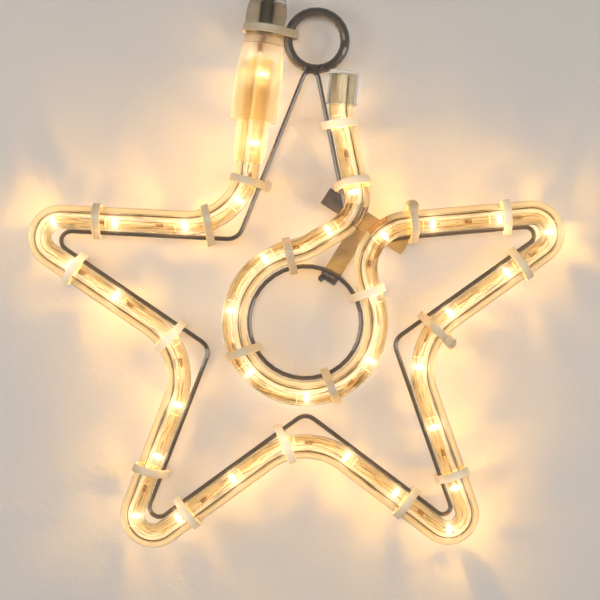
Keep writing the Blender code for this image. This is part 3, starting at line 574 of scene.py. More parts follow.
lamp_runs, resistor_runs = np.array(LAMP_RUNS) * MM, np.array(RESISTOR_RUNS) * MM
lamp_places = np.array([on_rope(run, LAMP_ASIDE)[0] for run in lamp_runs])


def lamplight(points, reach):
    """How much lamp light falls at each point: 1 at a lamp, and little past the reach."""
    points = np.asarray(points)
    apart = np.linalg.norm(points[:, None, :] - lamp_places[None, :, :], axis=2)
    return np.exp(-((apart / reach) ** 2)).sum(axis=1)


def store_light(piece, points, glare_reach=GLARE_REACH):
    """Keeps both values of every point on the mesh, for the material to read."""
    for name, reach in (("glare", glare_reach), ("wash", WASH_REACH)):
        layer = piece.data.attributes.new(name, "FLOAT", "POINT")
        layer.data.foreach_set("value", lamplight(points, reach).astype(np.float32))


print("first and last lamp", lamp_places[0].round(4), lamp_places[-1].round(4))

# %% Stored light as emission


def lit(look, glare, wash, streaks=None, painted_highlight=None):
    """Adds the stored lights as emission, each as (colour, strength), and a painted highlight if
    given.
    """
    parts = []
    for name, (code, strength) in (("glare", glare), ("wash", wash)):
        value = add(look, "Attribute", {}, "Fac", attribute_name=name)
        if streaks is not None:
            value = add(look, "Math", {0: value, 1: streaks}, operation="MULTIPLY")
        tint = {0: linear(code)[:3], "Scale": strength}
        tint = add(look, "VectorMath", tint, operation="SCALE")
        parts.append(add(look, "VectorMath", {0: tint, "Scale": value}, operation="SCALE"))
    total = add(look, "VectorMath", {0: parts[0], 1: parts[1]}, operation="ADD")
    if painted_highlight is not None:
        total = add(look, "VectorMath", {0: total, 1: painted_highlight}, operation="ADD")
    feed(look, {"Emission Color": total, "Emission Strength": 1.0})


print("light is stored with reach", GLARE_REACH / MM, "and", WASH_REACH / MM, "mm")

# %% [markdown]
# ## The two skins of the tube
#
# An extruder's die leaves fine lines along the tube. On the outside they are faint. The channel is
# rougher, because the leads are drawn through it while it is soft, and its ripples show as bright
# and dark streaks. A noise drawn out along the rope gives them as relief, and in the channel the
# same noise also paints shade into the streaks and makes the lamps' painted glow brighter and
# dimmer. A painted highlight runs as a pale band along the channel's side. The mesh carries a map
# for that, in millimetres along the rope and round it.

# %% Vinyl materials
PVC = {"IOR": 1.28, "Transmission Weight": 1.0}
HIGHLIGHT_RISE = {"From Min": 2.6, "From Max": 2.8}
HIGHLIGHT_FALL = {"From Min": 3.9, "From Max": 4.3, "To Min": 1.0, "To Max": 0.0}
HIGHLIGHT_COLOUR = (0.28, 0.28, 0.27)


def drawn_out(look, along, around, depth, strength):
    """Relief from a noise that is this long and this wide in millimetres, which it gives back."""
    spot = add(look, "UVMap", {}, "UV", uv_map="way")
    scale = (1 / along, 1 / around, 1.0)
    spot = add(look, "Mapping", {"Vector": spot, "Scale": scale})
    noise = add(look, "TexNoise", {"Vector": spot, "Scale": 1.0, "Detail": 2.0})
    bump = {"Height": noise, "Distance": depth * MM, "Strength": strength}
    feed(look, {"Normal": add(look, "Bump", bump)})
    return noise


# Outside, smooth as glass and slightly yellow.
yellowish = linear("#f9e8c2")
clear_pvc = finish("extruded_clear_pvc", {"Base Color": yellowish, "Roughness": 0.02, **PVC})
drawn_out(clear_pvc, 9.0, 0.9, 0.015, 0.5)
lit(clear_pvc, ("#ffe6c8", 0.2), ("#ffdca0", 0.025))

# Inside, rippled, with painted shade as dark streaks along the ripples, and a painted highlight as
# one pale band along the channel's side.
channel_pvc = finish("extruded_clear_pvc_channel", {"Roughness": 0.08, **PVC})
ripples = drawn_out(channel_pvc, 14.0, 0.75, 0.12, 0.9)
# Painted shade: the channel's colour goes dark where the ripple noise is high.
streak_shade = add(channel_pvc, "MapRange", {"Value": ripples, "From Min": 0.58, "From Max": 0.66})
two_tone(channel_pvc, streak_shade, "#fff6e2", "#93846a")
streaks = add(channel_pvc, "MapRange", {
    "Value": ripples, "From Min": 0.45, "From Max": 0.64, "To Min": 1.3, "To Max": 0.6,
})
# A painted highlight: a pale band of emission at one place round the channel.
around = add(channel_pvc, "UVMap", {}, "UV", uv_map="way")
around = add(channel_pvc, "SeparateXYZ", {"Vector": around}, "Y")
rise = add(channel_pvc, "MapRange", {"Value": around, **HIGHLIGHT_RISE})
fall = add(channel_pvc, "MapRange", {"Value": around, **HIGHLIGHT_FALL})
painted_highlight = add(channel_pvc, "Math", {0: rise, 1: fall}, operation="MULTIPLY")
painted_highlight = add(channel_pvc, "VectorMath", {0: HIGHLIGHT_COLOUR, "Scale": painted_highlight}, operation="SCALE")
lit(channel_pvc, ("#ffe4cc", 0.85), ("#ffd8a0", 0.03), streaks, painted_highlight)
print("vinyl", clear_pvc.name, channel_pvc.name)

# %% Rope tube
OUTER_SIDES, INNER_SIDES = 32, 24


def rope_tube():
    """The outer skin and the channel's skin, still open at both ends."""
    outer = swept(rope, round_section(ROPE, OUTER_SIDES))
    inner = swept(rope, round_section(BORE, INNER_SIDES), BORE_ASIDE)
    points = np.concatenate([outer.reshape(-1, 3), inner.reshape(-1, 3)])
    outside = side_faces(len(rope), OUTER_SIDES)
    inside = side_faces(len(rope), INNER_SIDES, len(rope) * OUTER_SIDES)
    return points, outside + inside, [0] * len(outside) + [1] * len(inside)


def map_way(mesh):
    """Maps the tube's skins by their distance along the rope and round it, in millimetres."""
    skins = ((OUTER_SIDES, ROPE), (INNER_SIDES, BORE))
    runs = np.concatenate([np.repeat(rope_run, sides) for sides, _ in skins])
    rounds = np.concatenate([
        np.tile(np.arange(sides) / sides * math.pi * size, len(rope)) for sides, size in skins
    ])
    corners = np.zeros(len(mesh.loops), dtype=np.int32)
    mesh.loops.foreach_get("vertex_index", corners)
    spots = np.stack([runs[corners], rounds[corners]], axis=1) / MM
    mesh.uv_layers.new(name="way").data.foreach_set("uv", spots.ravel())


tube_points, tube_faces, tube_looks = rope_tube()
tube = mesh_piece(
    "rope_tube_clear", tube_points, tube_faces, [clear_pvc, channel_pvc], "clear_vinyl",
    sharp=50, face_looks=tube_looks, ends=(rope[0], rope[-1]),
)
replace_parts(tube, "rope_tube")
store_light(tube, tube_points)
map_way(tube.data)
tube.visible_shadow = False
print("tube", len(tube.data.polygons), "faces")

# %% [markdown]
# ## Lamps, leads and resistors
#
# The lamps are small clear epoxy bullets strung on thin leads, with a resistor after about every
# second one. They are lit: the dome is one hot spot, and only a bright rim at the far end still
# shows the bullet's shape. A real hot spot fades at its edge, so its strength falls from the middle
# of the dome outwards, by how far the surface is turned away. All are turned from profiles and set
# along the rope.

# %% Lamp materials
# Cast epoxy, lit from within: too bright to show a skin, except at the rim.
dome_glow = finish("lit_epoxy_dome", {
    "Base Color": linear("#fff0cc"), "Roughness": 0.3, "Emission Color": linear("#ffe7c2"),
})
turned_away = add(dome_glow, "LayerWeight", {"Blend": 0.35}, "Facing")
strength = {"Value": turned_away, "From Max": 0.6, "To Min": 3.6, "To Max": 0.2}
feed(dome_glow, {"Emission Strength": add(dome_glow, "MapRange", strength)})
rim_glow = finish("lit_epoxy_rim", {
    "Base Color": linear("#ffe9bd"), "Roughness": 0.25, "Emission Color": linear("#ffe0a0"),
    "Emission Strength": 1.3,
})
uneven(rim_glow, 0.4, depth=0.02)

# Brassed steel, drawn thin: a soft metal gleam. The resistors are dipped in a tan lacquer.
lead_wire = finish("brassed_lead_wire", {"Base Color": linear("#cfae78"), "Metallic": 0.8})
uneven(lead_wire, 0.5, gloss=(0.25, 0.5))
lacquer = finish("resistor_lacquer", {"Base Color": linear("#c8955a"), "Roughness": 0.35})
uneven(lacquer, 0.4, depth=0.03)
band_paint = finish("resistor_bands", {"Base Color": linear("#38241a"), "Roughness": 0.4})
uneven(band_paint, 0.4, depth=0.02)
print("lit", dome_glow.name, rim_glow.name, "and", lead_wire.name, lacquer.name, band_paint.name)

# %% Lamp string
DOME_RADIUS, DOME_REACH = 1.65, 1.5
DOME = [(DOME_RADIUS * math.sin(a), DOME_REACH * -math.cos(a))
        for a in np.radians(np.linspace(8, 172, 13))]
RIM = [(0.9, 4.1), (1.3, 4.15), (1.4, 4.25), (1.3, 4.35), (0.9, 4.4)]
HALF_RESISTOR = [(0.42, 0.9), (0.52, 1.2), (0.52, 1.6), (0.4, 1.9), (0.2, 2.0)]
RESISTOR = [(radius, -height) for radius, height in HALF_RESISTOR[::-1]] + HALF_RESISTOR
BAND = [(0.36, -0.2), (0.5, -0.18), (0.5, 0.18), (0.36, 0.2)]
END_BAND = [(0.45, -0.2), (0.58, -0.18), (0.58, 0.18), (0.45, 0.2)]
BANDS_AT, END_BAND_AT = (-0.7 * MM, 0.0, 0.7 * MM), -1.4 * MM
LAMP_SIDES, RESISTOR_SIDES = 18, 12


def turned(profile, sides, closed=False):
    """Points and faces of a (radius, height) profile in millimetres, turned about an axis.

    An open profile gets two flat ends, and a closed one makes a shell.
    """
    points = []
    for radius, height in profile:
        for k in range(sides):
            angle = 2 * math.pi * k / sides
            points.append((radius * math.cos(angle), radius * math.sin(angle), height))
    faces = side_faces(len(profile), sides, closed=closed)
    return np.array(points) * MM, faces + ([] if closed else end_faces(len(points), sides))


def stood_up(points, place, way, aside, forward):
    """Turned points set at a place, with their axis along the way."""
    return place + points[:, :1] * aside + points[:, 1:2] * forward + points[:, 2:] * way


def gathered(parts):
    """Several (points, faces) as one."""
    points, faces, first = [], [], 0
    for some, sides in parts:
        points.append(np.asarray(some))
        faces += [tuple(k + first for k in face) for face in sides]
        first += len(some)
    return np.concatenate(points), faces


def strung(name, profile, sides, runs, look, sharp=180):
    """One piece of a turned shape repeated along the rope."""
    points, faces = turned(profile, sides)
    many = gathered([(stood_up(points, *on_rope(run, LAMP_ASIDE)), faces) for run in runs])
    return mesh_piece(name, *many, [look], "lit_lamps", sharp)


domes = strung("lamp_domes", DOME, LAMP_SIDES, lamp_runs, dome_glow)
rims = strung("lamp_rims", RIM, LAMP_SIDES, lamp_runs, rim_glow, sharp=50)
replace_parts(domes, "lamp_string")
for piece in (domes, rims):
    piece.visible_diffuse = piece.visible_shadow = False
band_runs = [run + at for run in resistor_runs for at in BANDS_AT]
for name, profile, runs, look in (
    ("resistors", RESISTOR, resistor_runs, lacquer),
    ("resistor_bands", BAND, band_runs, band_paint),
    ("resistor_end_bands", END_BAND, resistor_runs + END_BAND_AT, band_paint),
):
    strung(name, profile, RESISTOR_SIDES, runs, look, sharp=40)
print("lamps", len(lamp_runs), "resistors", len(resistor_runs), "bands", len(band_runs))

# %% [markdown]
# ## Leads and feed wires
#
# Two thin leads run from each lamp to the next, pushed into loose bends when the string was drawn
# in, so each gets a few random swings of its own. The two feed wires that bring the current along
# are thicker, and lie straight. They are tinned copper, painted dark: painted shade for the shaded
# edge that shows through the vinyl.

# %% Leads and feed wires
LEAD_WIRE, FEED_WIRE = 0.3 * MM, 0.45 * MM
FROM_LAMP, TO_LAMP = 4.3 * MM, 1.2 * MM
BESIDE_LAMP, BEFORE_LAMP = 0.6 * MM, 0.3 * MM
BENDS, SWING = 4, 0.45 * MM
WIRE_STEP = 1.5 * MM
shaken = np.random.default_rng(11)


def wire_along(start, end, thickness, aside_by, forward_by, bends=0, swing=0.0, sides=8):
    """A round wire beside the rope's line, from one distance to another, with random bends."""
    count = max(3, round((end - start) / WIRE_STEP) + 1)
    stops = np.linspace(start, end, count)
    share = np.linspace(0, 1, count)
    aside, forward = np.zeros(count), np.zeros(count)
    for k in range(1, bends + 1):
        aside += np.sin(math.pi * k * share) * shaken.normal(0, swing / k)
        forward += np.sin(math.pi * k * share) * shaken.normal(0, swing / k)
    line = [on_rope(*spot)[0] for spot in zip(stops, aside_by + aside, forward_by + forward)]
    return closed_tube(line, round_section(thickness, sides))


leads = []
for start, end in zip(lamp_runs + FROM_LAMP, lamp_runs[1:] - TO_LAMP):
    for side in (-1, 1):
        beside, before = LAMP_ASIDE + side * BESIDE_LAMP, side * BEFORE_LAMP
        leads.append(wire_along(start, end, LEAD_WIRE, beside, before, BENDS, SWING))
mesh_piece("lamp_leads", *gathered(leads), [lead_wire], "lit_lamps")

# The dark colour is painted shade; bright tinned copper shows a shaded edge through the vinyl.
tinned = finish("tinned_copper_wire", {"Base Color": linear("#383029"), "Metallic": 0.4})
uneven(tinned, 0.6, gloss=(0.25, 0.5))
feed_start, feed_end = 3.6 * MM, rope_run[-1] - 0.8 * MM
for name, beside, before in (("feed_wire_front", 1.6, 1.3), ("feed_wire_rear", 1.5, -1.3)):
    wire = wire_along(feed_start, feed_end, FEED_WIRE, beside * MM, before * MM, sides=10)
    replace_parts(mesh_piece(name + "_tinned", *wire, [tinned], "tinned_copper"), name)
print("leads", len(leads))

# %% [markdown]
# ## Cable ties
#
# Each tie is moulded natural nylon: a ribbed band pulled round rope and wire, and a head with a
# pawl that holds it, its tail cut off close. The nylon is milky and lets light through, so ties
# over a lamp glow. The band is swept round two circles and the head is a rounded block with its
# slot sunk in. Pulled by hand, no tie sits quite square, so each has a measured shift in
# millimetres and a lean.

# %% Nylon
nylon = finish("moulded_natural_nylon", {
    "Base Color": linear("#baab90"), "Roughness": 0.42, "IOR": 1.53,
    "Subsurface Weight": 0.4, "Subsurface Radius": (1.0, 0.7, 0.4), "Subsurface Scale": 1.0 * MM,
})
uneven(nylon, 0.5, depth=0.02, strength=0.6)
lit(nylon, ("#ffedcc", 1.5), ("#ffcb8c", 0.26))
print("milky", nylon.name)

# %% Where each tie holds
# The wire's corners, and each tie as its leg, share of that leg, head's side, shift and lean. One
# on the inner ring has the ring's radius and an angle in place of leg and share.
WIRE = 2.0 * MM
WIRE_STOPS = (
    (12.11, -82.17), (-1.50, -15.63), (-33.82, -96.51), (-120.63, -92.15), (-45.70, -143.13),
    (-76.90, -223.61), (-4.66, -171.22), (61.14, -220.90), (33.01, -140.15), (103.15, -90.00),
    (31.76, -96.04),
)
STAR_TIES = (
    (1, 0.7142, "near", 0.0, -0.057), (2, 0.1232, "back", 0.0, 0.15),
    (2, 0.7008, "back", 0.0, -0.02), (3, 0.2554, "back", 0.0, 0.003),
    (3, 0.8369, "back", 0.0, -0.15), (4, 0.6784, "back", 0.0, -0.112),
    (5, 0.2566, "back", 0.0, -0.05), (5, 0.8589, "back", 0.0, -0.15),
    (6, 0.6991, "back", 0.0, 0.031), (7, 0.2655, "back", 0.0, 0.005),
    (8, 0.1842, "far", 0.0, 0.103), (8, 0.7379, "back", 0.0, 0.028),
    (9, 0.2958, "back", 0.0, 0.009), (9, 0.8416, "far", 2.2, -0.053),
)
TOP_TIES = ((0, 0.1586, "back", -2.4, 0.034), (0, 0.5526, "back", -2.6, 0.081))
RING_TIES = (
    (24.2, 21.84, "back", -2.0, 0.023), (24.2, -67.89, "back", 0.0, 0.021),
    (24.2, -154.43, "back", 0.0, -0.1), (24.2, 102.79, "back", 0.0, -0.005),
)


def in_plane(flat):
    """A place in the star's plane from its (x, z) in millimetres."""
    return np.array((flat[0] * MM, STAR_DEPTH, flat[1] * MM))


def on_wire(leg, share):
    """A place on a straight leg of the star's wire."""
    start, end = (np.array(WIRE_STOPS[k]) for k in (leg, leg + 1))
    return in_plane(start + (end - start) * share)


def on_centre_ring(radius, angle):
    """A place on the inner ring's wire."""
    return in_plane(circle_points(RING_MIDDLE, radius, angle, angle, 1)[0])


def nearest_on_rope(place):
    """The rope's nearest point to a place, and its heading there."""
    steps = np.diff(rope, axis=0)
    shares = np.einsum("ij,ij->i", place - rope[:-1], steps) / np.einsum("ij,ij->i", steps, steps)
    found = rope[:-1] + steps * np.clip(shares, 0, 1)[:, None]
    k = int(np.argmin(np.linalg.norm(found - place, axis=1)))
    return found[k], steps[k] / np.linalg.norm(steps[k])


print("ties to make", len(STAR_TIES + TOP_TIES + RING_TIES) + 1)

# %% Band and head
TIE_THICK, TIE_SLACK = 1.1 * MM, 0.9 * MM
HEAD, HEAD_BEND, HEAD_SUNK = (5.0 * MM, 4.8 * MM, 3.4 * MM), 0.55 * MM, 0.1 * MM
GAP = 0.3 * MM
TIE_GLARE = 6.0 * MM
FAR_STEPS, NEAR_STEPS = 40, 16
BAND_SECTION = (
    (-1.75, 0.25), (-1.62, 0.06), (-1.4, 0.0), (1.4, 0.0), (1.62, 0.06), (1.75, 0.25),
    (1.75, 0.82), (1.6, 1.02), (1.35, 1.1), (0.9, 1.02), (-0.9, 1.02), (-1.35, 1.1),
    (-1.6, 1.02), (-1.75, 0.82),
)
SLOT = ((0.5, 0.0), (0.12, -0.5), (0.05, -0.4), (0.35, 0.0), (0.02, 1.5))


def belt(apart, far, near):
    """A belt's inner line round two circles, as places and outward directions in its plane."""
    lean = math.acos((far - near) / apart)
    places, outs = [], []
    for centre, radius, start, end, count in (
        (0.0, far, lean, 2 * math.pi - lean, FAR_STEPS), (apart, near, -lean, lean, NEAR_STEPS),
    ):
        for k in range(count + 1):
            angle = start + (end - start) * k / count
            out = np.array((math.cos(angle), math.sin(angle)))
            places.append(np.array((centre, 0.0)) + radius * out)
            outs.append(out)
    return places, outs


def rounded_block(size, bend):
    """A rounded block with a slot sunk in its top and a cut tail inside.

    The bevel leaves its faces in no fixed order, so they are sorted to be the same each run.
    """
    bm = bmesh.new()
    bmesh.ops.create_cube(bm, size=1, matrix=Matrix.Diagonal((*size, 1)))
    bmesh.ops.translate(bm, verts=bm.verts, vec=(0, 0, size[2] / 2))
    edges = [edge for edge in bm.edges if max(v.co.z for v in edge.verts) > size[2] / 2]
    bmesh.ops.bevel(bm, geom=edges, offset=bend, segments=3, affect="EDGES")
    top = max(bm.faces, key=lambda face: face.calc_center_median().z)
    for width, drop in SLOT:
        bmesh.ops.inset_region(bm, faces=[top], thickness=width * MM, depth=0)
        for vert in top.verts:
            vert.co.z += drop * MM
    points = np.array([tuple(vert.co) for vert in bm.verts])
    faces = []
    for face in bm.faces:
        corners = [vert.index for vert in face.verts]
        first = corners.index(min(corners))
        faces.append(tuple(corners[first:] + corners[:first]))
    bm.free()
    return points, sorted(faces)


head_shape = rounded_block(HEAD, HEAD_BEND)
print("a tie's head has", len(head_shape[0]), "points")

# %% A tie in its place


def tie_band(spot, heading, toward, back, places, outs):
    """The band's section carried round its belt."""
    section = np.array(BAND_SECTION) * MM
    rings = []
    for place, out in zip(places, outs):
        flat = place[None, :] + section[:, 1:] * out[None, :]
        rings.append(spot + flat[:, :1] * toward + flat[:, 1:] * back + section[:, :1] * heading)
    return np.concatenate(rings), side_faces(len(rings), len(section), closed=True)


def tie_head(spot, heading, toward, back, side, apart, far, near):
    """The moulded head on one side of the belt, with its slot lengthways on the band."""
    lean = math.acos((far - near) / apart)
    across, up = math.cos(lean), math.sin(lean)
    seat, out = {
        "far": ((-far, 0.0), (-1.0, 0.0)),
        "near": ((apart, 0.0), (1.0, 0.0)),
        "back": (((far * across + apart + near * across) / 2, (far + near) * up / 2), (across, up)),
    }[side]
    flat = np.array(seat) + np.array(out) * (TIE_THICK - HEAD_SUNK)
    shape, faces = head_shape
    lengthways, outward = toward * out[1] - back * out[0], toward * out[0] + back * out[1]
    head = spot + flat[0] * toward + flat[1] * back
    head = head + shape[:, :1] * lengthways + shape[:, 1:2] * heading + shape[:, 2:] * outward
    return head, faces


def tie(node, spot, heading, held, radii, side, shift, lean_by):
    """A band and head that stand for a CAD tie, slid along the rope and leant as measured."""
    toward = held - spot
    toward = toward - heading * (toward @ heading)
    apart = np.linalg.norm(toward)
    toward = toward / apart
    back = np.cross(heading, toward)
    back = back * np.sign(back[1])
    where = (spot, heading, toward, back)
    band = tie_band(*where, *belt(apart, *radii))
    points, faces = gathered([band, tie_head(*where, side, apart, *radii)])
    points = points + (shift * MM + ((points - spot) @ toward)[:, None] * lean_by) * heading
    piece = mesh_piece(node + "_nylon", points, faces, [nylon], "tie_nylon", sharp=35)
    store_light(piece, points, TIE_GLARE)
    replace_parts(piece, node)
    return piece


print("light reaches", TIE_GLARE / MM, "mm into the nylon")

# %% Every tie
AXIS_FOOT, AXIS_WAY = np.array((-30.20, -3.09, -69.82)) * MM, np.array((0.1224, 0.0, 0.9925))
NECK_SEAT, RING_ROD, CONNECTOR_TIE_AT = 16.2 * MM, 4.1 * MM, 65.32 * MM
CONNECTOR_TIE = ("back", -1.3, 0.0)
RING_HELD = (-11.72 * MM, -6.28 * MM)

radii = (ROPE / 2 + GAP, WIRE / 2 + TIE_SLACK)
ties = []
for kind, rows, place_on in (
    ("star_tie", STAR_TIES, on_wire), ("top_arm_tie", TOP_TIES, on_wire),
    ("centre_tie", RING_TIES, on_centre_ring),
):
    for number, (leg, share, *sitting) in enumerate(rows, 1):
        held = place_on(leg, share)
        ties.append(tie(f"{kind}_{number:02d}", *nearest_on_rope(held), held, radii, *sitting))
ring_low, ring_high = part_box("hanging_ring")
held = np.array((RING_HELD[0], (ring_low[1] + ring_high[1]) / 2, RING_HELD[1]))
spot = AXIS_FOOT + AXIS_WAY * CONNECTOR_TIE_AT
radii = (NECK_SEAT / 2 + GAP, RING_ROD / 2 + TIE_SLACK)
ties.append(tie("connector_tie", spot, AXIS_WAY, held, radii, *CONNECTOR_TIE))
print("ties", len(ties))

# %% [markdown]
# ## The frosted connector and end cap
#
# Both are moulded soft vinyl with a frosted skin, turned in shape. The barrel slips over the
# sleeve, the ribbed neck screws into it, and the strain relief stands on top, clear again. The
# CAD's solids have the right form, but the light inside them has to be stored on a mesh, so each
# is turned again from a finer profile on the same axis. Frosting scatters what passes through, so
# the shader transmits with a rough skin, and the lamps behind it turn to soft bright patches. The
# neck is less frosted, and has painted shade towards its top, for the lead's black jacket inside.

# %% Frosted vinyl
frosted = finish("frosted_moulded_pvc", {
    "Base Color": linear("#ece5d7"), "Roughness": 0.6, "IOR": 1.1, "Transmission Weight": 1.0,
})
uneven(frosted, 0.9, depth=0.05, strength=0.6)
lit(frosted, ("#ffe6c8", 0.2), ("#ffdeb2", 0.06))

neck_pvc = finish("frosted_neck_pvc", {"Roughness": 0.34, "IOR": 1.12, "Transmission Weight": 0.95})
# Painted shade: the neck's colour darkens towards its top, for the black jacket inside.
two_tone(neck_pvc, fade(neck_pvc, "Z", -6.0, -2.0), "#e2d8c4", "#b9ae9c")
uneven(neck_pvc, 0.9, depth=0.05, strength=0.6)
lit(neck_pvc, ("#fff0cf", 0.1), ("#ffe4b0", 0.02))

# The cap and the strain relief are hardly frosted, but wavy from their mould.
cap_pvc = finish("half_frosted_cap_pvc", {
    "Base Color": linear("#dcdfe2"), "Roughness": 0.12, "IOR": 1.14, "Transmission Weight": 0.97,
})
uneven(cap_pvc, 1.2, depth=0.12, strength=0.8, stretch=(1.0, 1.0, 0.3))
lit(cap_pvc, ("#ffe9bc", 0.1), ("#ffdca0", 0.015))
print("frosted", frosted.name, neck_pvc.name, cap_pvc.name)

# %% Turned shells
CONNECTOR_SIDES = 64
SHELL_GLARE = 6.0 * MM


def shell(node, profile, look, slot, foot=AXIS_FOOT, way=AXIS_WAY):
    """A turned piece that stands for a CAD node, on an axis in the star's plane."""
    points, faces = turned(profile, CONNECTOR_SIDES, closed=True)
    aside, forward = np.array((way[2], 0.0, -way[0])), np.array((0.0, -1.0, 0.0))
    points = stood_up(points, foot, way, aside, forward)
    piece = mesh_piece(node + "_moulded", points, faces, [look], slot, sharp=38)
    store_light(piece, points, SHELL_GLARE)
    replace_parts(piece, node)
    piece.visible_shadow = False


shell("connector_sleeve", [
    (5.55, 6.32), (6.1, 6.34), (6.3, 6.6), (6.45, 8.2), (6.95, 11.4), (7.12, 13.0), (7.15, 15.5),
    (7.15, 39.0), (7.0, 39.32), (5.6, 39.32), (5.55, 39.0), (5.55, 7.0),
], frosted, "frosted_vinyl")
shell("connector_barrel", [
    (7.5, 24.5), (7.7, 24.27), (9.6, 24.25), (9.92, 24.45), (9.95, 24.9), (9.95, 25.9),
    (9.98, 26.3), (10.12, 33.0), (10.15, 38.0), (10.05, 44.0), (9.78, 49.0), (9.47, 51.95),
    (9.1, 54.6), (8.86, 57.0), (8.7, 57.42), (3.4, 57.45), (3.3, 57.3), (3.3, 50.4), (3.8, 49.9),
    (7.5, 49.6), (8.3, 48.6), (8.6, 45.0), (8.72, 38.0), (8.6, 30.0), (8.45, 26.2), (7.6, 25.7),
], frosted, "frosted_vinyl")
shell("connector_neck", [
    (3.3, 57.9), (3.6, 57.75), (8.2, 57.75), (8.4, 57.95), (8.42, 59.9), (8.1, 60.2), (8.1, 65.0),
    (8.42, 65.3), (8.6, 66.6), (8.95, 68.1), (8.98, 69.0), (8.8, 72.0), (8.35, 74.9), (8.05, 75.45),
    (7.6, 75.58), (3.6, 75.58), (3.3, 75.4),
], neck_pvc, "frosted_vinyl")
print("connector's shells have", CONNECTOR_SIDES, "sides")

# %% Strain relief and cap
RIBS, STEPS_PER_RIB, RIB_HEIGHT = 9, 8, 0.35
RELIEF_FOOT, RELIEF_LENGTH, RELIEF_WIDE, RELIEF_TAPER = 75.88, 14.0, 7.75, 2.85
PLAIN_BELOW, PLAIN_ABOVE = 0.04, 0.98
relief = [(3.3, 76.1), (3.5, 75.88)]
for k in range(STEPS_PER_RIB * RIBS + 1):
    share = k / (STEPS_PER_RIB * RIBS)
    ribbed = PLAIN_BELOW < share < PLAIN_ABOVE
    swell = 0.5 + 0.5 * math.cos(share * RIBS * 2 * math.pi) if ribbed else 1.0
    radius = RELIEF_WIDE - RELIEF_TAPER * share + RIB_HEIGHT * swell
    relief.append((radius, RELIEF_FOOT + RELIEF_LENGTH * share))
relief += [(3.5, 89.88), (3.3, 89.7)]
shell("strain_relief", relief, cap_pvc, "clear_vinyl")

CAP_TOP = np.array((11.72 * MM, rope[-1][1], -24.03 * MM))
LAST_STRETCH = 12
cap_way = rope[-1] - rope[-LAST_STRETCH]
cap_way = np.array((cap_way[0], 0.0, cap_way[2])) / np.hypot(cap_way[0], cap_way[2])
shell("end_cap", [
    (5.55, -14.6), (5.7, -14.8), (6.4, -14.8), (6.6, -14.6), (6.6, -1.6), (6.45, -0.75),
    (6.0, -0.2), (5.4, 0.0), (0.05, 0.0), (0.05, -1.75), (5.2, -1.8), (5.5, -2.0),
], cap_pvc, "frosted_vinyl", CAP_TOP, cap_way)
print("strain relief of", RIBS, "ribs, cap along", cap_way.round(3))

# %% [markdown]
# ## Lead, cores, pins and plug
#
# The lead is black rubber, extruded, so it is matt with a fine skin. Inside the connector its
# brown and blue cores, in smooth PVC, are crimped to pins of brass with a bright nickel plate,
# which go into the rope's feed wires. The CAD's solids serve for all but the lead itself.

# %% Rubber, core insulation and plated brass
rubber = finish("black_rubber_sheath", {"Base Color": linear("#1c1b1a"), "Roughness": 0.55})
uneven(rubber, 1.5, gloss=(0.45, 0.65))
uneven(rubber, 0.5, depth=0.04, strength=0.6)
brown = finish("brown_core_pvc", {"Base Color": linear("#7a4630"), "Roughness": 0.4})
blue = finish("blue_core_pvc", {"Base Color": linear("#27518c"), "Roughness": 0.4})
for core in (brown, blue):
    uneven(core, 0.5, depth=0.02, strength=0.5)
plated = finish("nickel_plated_brass", {
    "Base Color": linear("#b9b2a6"), "Metallic": 1.0, "Roughness": 0.25,
})
uneven(plated, 0.8, gloss=(0.18, 0.38))
dress(rubber, "lead_jacket", "coil_tie", "plug_body")
dress(brown, "core_brown")
dress(blue, "core_blue")
dress(plated, "contact_pin_front", "contact_pin_rear", "plug_pin_left", "plug_pin_right")
cord.data.materials.append(rubber)
print("lead", rubber.name, "cores", brown.name, blue.name, "pins", plated.name)

# %% [markdown]
# ## The wall behind
#
# The star hangs on a pale painted wall, rolled on, so matt with a soft 3 mm texture, which the
# lamps light up. The wall is only a stage. It could be thick, but one face is enough, and its
# material is clear from behind, so that the star's back can be looked at too.

# %% Wall
WALL_DEPTH, WALL_REACH = 7.7 * MM, 1.6
wall_paint = finish("matt_wall_paint", {"Base Color": linear("#c9c3bd"), "Roughness": 0.85})
uneven(wall_paint, 3.0, depth=0.25, strength=0.7)
painted = wall_paint.node_tree.nodes["Principled BSDF"].outputs["BSDF"]
behind = add(wall_paint, "NewGeometry", {}, "Backfacing")
clear = add(wall_paint, "BsdfTransparent", {})
both = add(wall_paint, "MixShader", {0: behind, 1: painted, 2: clear})
feed(wall_paint, {"Surface": both}, "Material Output")
wall_mesh = bpy.data.meshes.new("wall")
corners = [
    (x * WALL_REACH, WALL_DEPTH, z * WALL_REACH) for x, z in ((-1, -1), (1, -1), (1, 1), (-1, 1))
]
wall_mesh.from_pydata(corners, [], [(0, 1, 2, 3)])
wall_mesh.materials.append(wall_paint)
wall = bpy.data.objects.new("wall", wall_mesh)
bpy.context.scene.collection.objects.link(wall)
print("wall faces", tuple(wall_mesh.polygons[0].normal))

# %% [markdown]
# ## Light
#
# Two soft lamps stand off to the left and right, and a larger one behind the camera, with a pale
# world round them, at a level where paint renders about as its colour is written. The rope's own
# light comes from a small warm point at every lamp. A plain point would give an even halo, but a
# moulded bullet throws patches, so a noise over its directions varies each light. It leans to the
# rope's open side, away from the steel wire, and each lamp has its own share of the power. The
# clear pieces cast no shadow, because in the real rope light passes through them, and tracing that
# would only add noise.

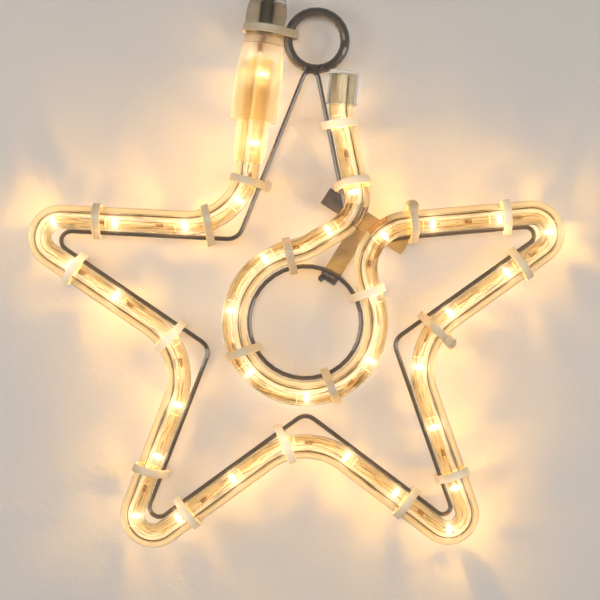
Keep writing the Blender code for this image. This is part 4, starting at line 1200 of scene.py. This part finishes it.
# %% Studio lamps and world
scene = bpy.context.scene
scene.view_settings.view_transform = "Standard"
world = bpy.data.worlds.new("studio")
world.use_nodes = True
feed(world, {"Color": linear("#dedad4"), "Strength": 0.3}, "Background")
scene.world = world
AIM = Vector((0, 0, -0.12))
for name, place, size, power in (
    ("left_softbox", (-0.45, -0.42, -0.09), 0.3, 0.91),
    ("right_softbox", (0.45, -0.42, -0.17), 0.3, 0.97),
    ("front_softbox", (-0.06, -1.3, -0.02), 0.4, 6.2),
):
    light = bpy.data.lights.new(name, "AREA")
    light.shape, light.size, light.energy = "SQUARE", size, power
    made = bpy.data.objects.new(name, light)
    made.location = place
    made.rotation_mode = "QUATERNION"
    made.rotation_quaternion = (AIM - Vector(place)).to_track_quat("-Z", "Y")
    scene.collection.objects.link(made)

# %% The rope's own lamps
LAMPS_IN_CONNECTOR = 2
LAMP_POWER, LAMP_COLOUR, LAMP_RADIUS = 0.0135, "#ffc04a", 1.5 * MM
PATCH_SCALE, PATCH_SHIFT = 1.8, 3.7
PATCHES = {"From Min": 0.43, "From Max": 0.57, "To Min": 0.15, "To Max": 1.95}
LEANING = {"From Min": -1.0, "From Max": 1.0, "To Min": 0.55, "To Max": 1.45}
OFF_WALL = {"From Min": 0.45, "From Max": 0.85, "To Min": 1.0, "To Max": 0.08}
LAMP_SHARE = {1: 0.75, 2: 0.9, 9: 0.7, 10: 0.65, 11: 0.75, 14: 0.7, 20: 0.85, 21: 0.8, 36: 0.6}
LAMP_SHARE.update({4: 1.2, 5: 1.2, 6: 1.3, 12: 1.2, 18: 1.3, 24: 1.2, 25: 1.3, 26: 1.2})
LAMP_SHARE.update((number, 0.24) for number in range(28, 34))


def thrown(light, number, open_side):
    """A lamp's strength in each direction. The connector's shells keep its two off the wall."""
    beam = add(light, "TexCoord", {}, "Normal")
    leaning = add(light, "VectorMath", {0: beam, 1: open_side}, "Value", operation="DOT_PRODUCT")
    leaning = add(light, "MapRange", {"Value": leaning, **LEANING})
    if number <= LAMPS_IN_CONNECTOR:
        to_wall = {0: beam, 1: (0.0, 1.0, 0.0)}
        to_wall = add(light, "VectorMath", to_wall, "Value", operation="DOT_PRODUCT")
        kept_off = add(light, "MapRange", {"Value": to_wall, **OFF_WALL})
        leaning = add(light, "Math", {0: leaning, 1: kept_off}, operation="MULTIPLY")
    shifted = {"Vector": beam, "Location": (PATCH_SHIFT * number, 0.0, 0.0)}
    noise = {"Vector": add(light, "Mapping", shifted), "Scale": PATCH_SCALE, "Detail": 1.0}
    patches = add(light, "MapRange", {"Value": add(light, "TexNoise", noise), **PATCHES})
    return add(light, "Math", {0: patches, 1: leaning}, operation="MULTIPLY")


for number, place in enumerate(lamp_places, 1):
    light = bpy.data.lights.new(f"lamp_light_{number:02d}", "POINT")
    light.color = linear(LAMP_COLOUR)[:3]
    light.energy = LAMP_POWER * LAMP_SHARE.get(number, 1.0)
    light.shadow_soft_size = LAMP_RADIUS
    light.use_nodes = True
    open_side = tuple(on_rope(lamp_runs[number - 1])[2])
    feed(light, {"Strength": thrown(light, number, open_side)}, "Emission")
    made = bpy.data.objects.new(light.name, light)
    made.location = tuple(place)
    made.visible_transmission = number > LAMPS_IN_CONNECTOR
    scene.collection.objects.link(made)
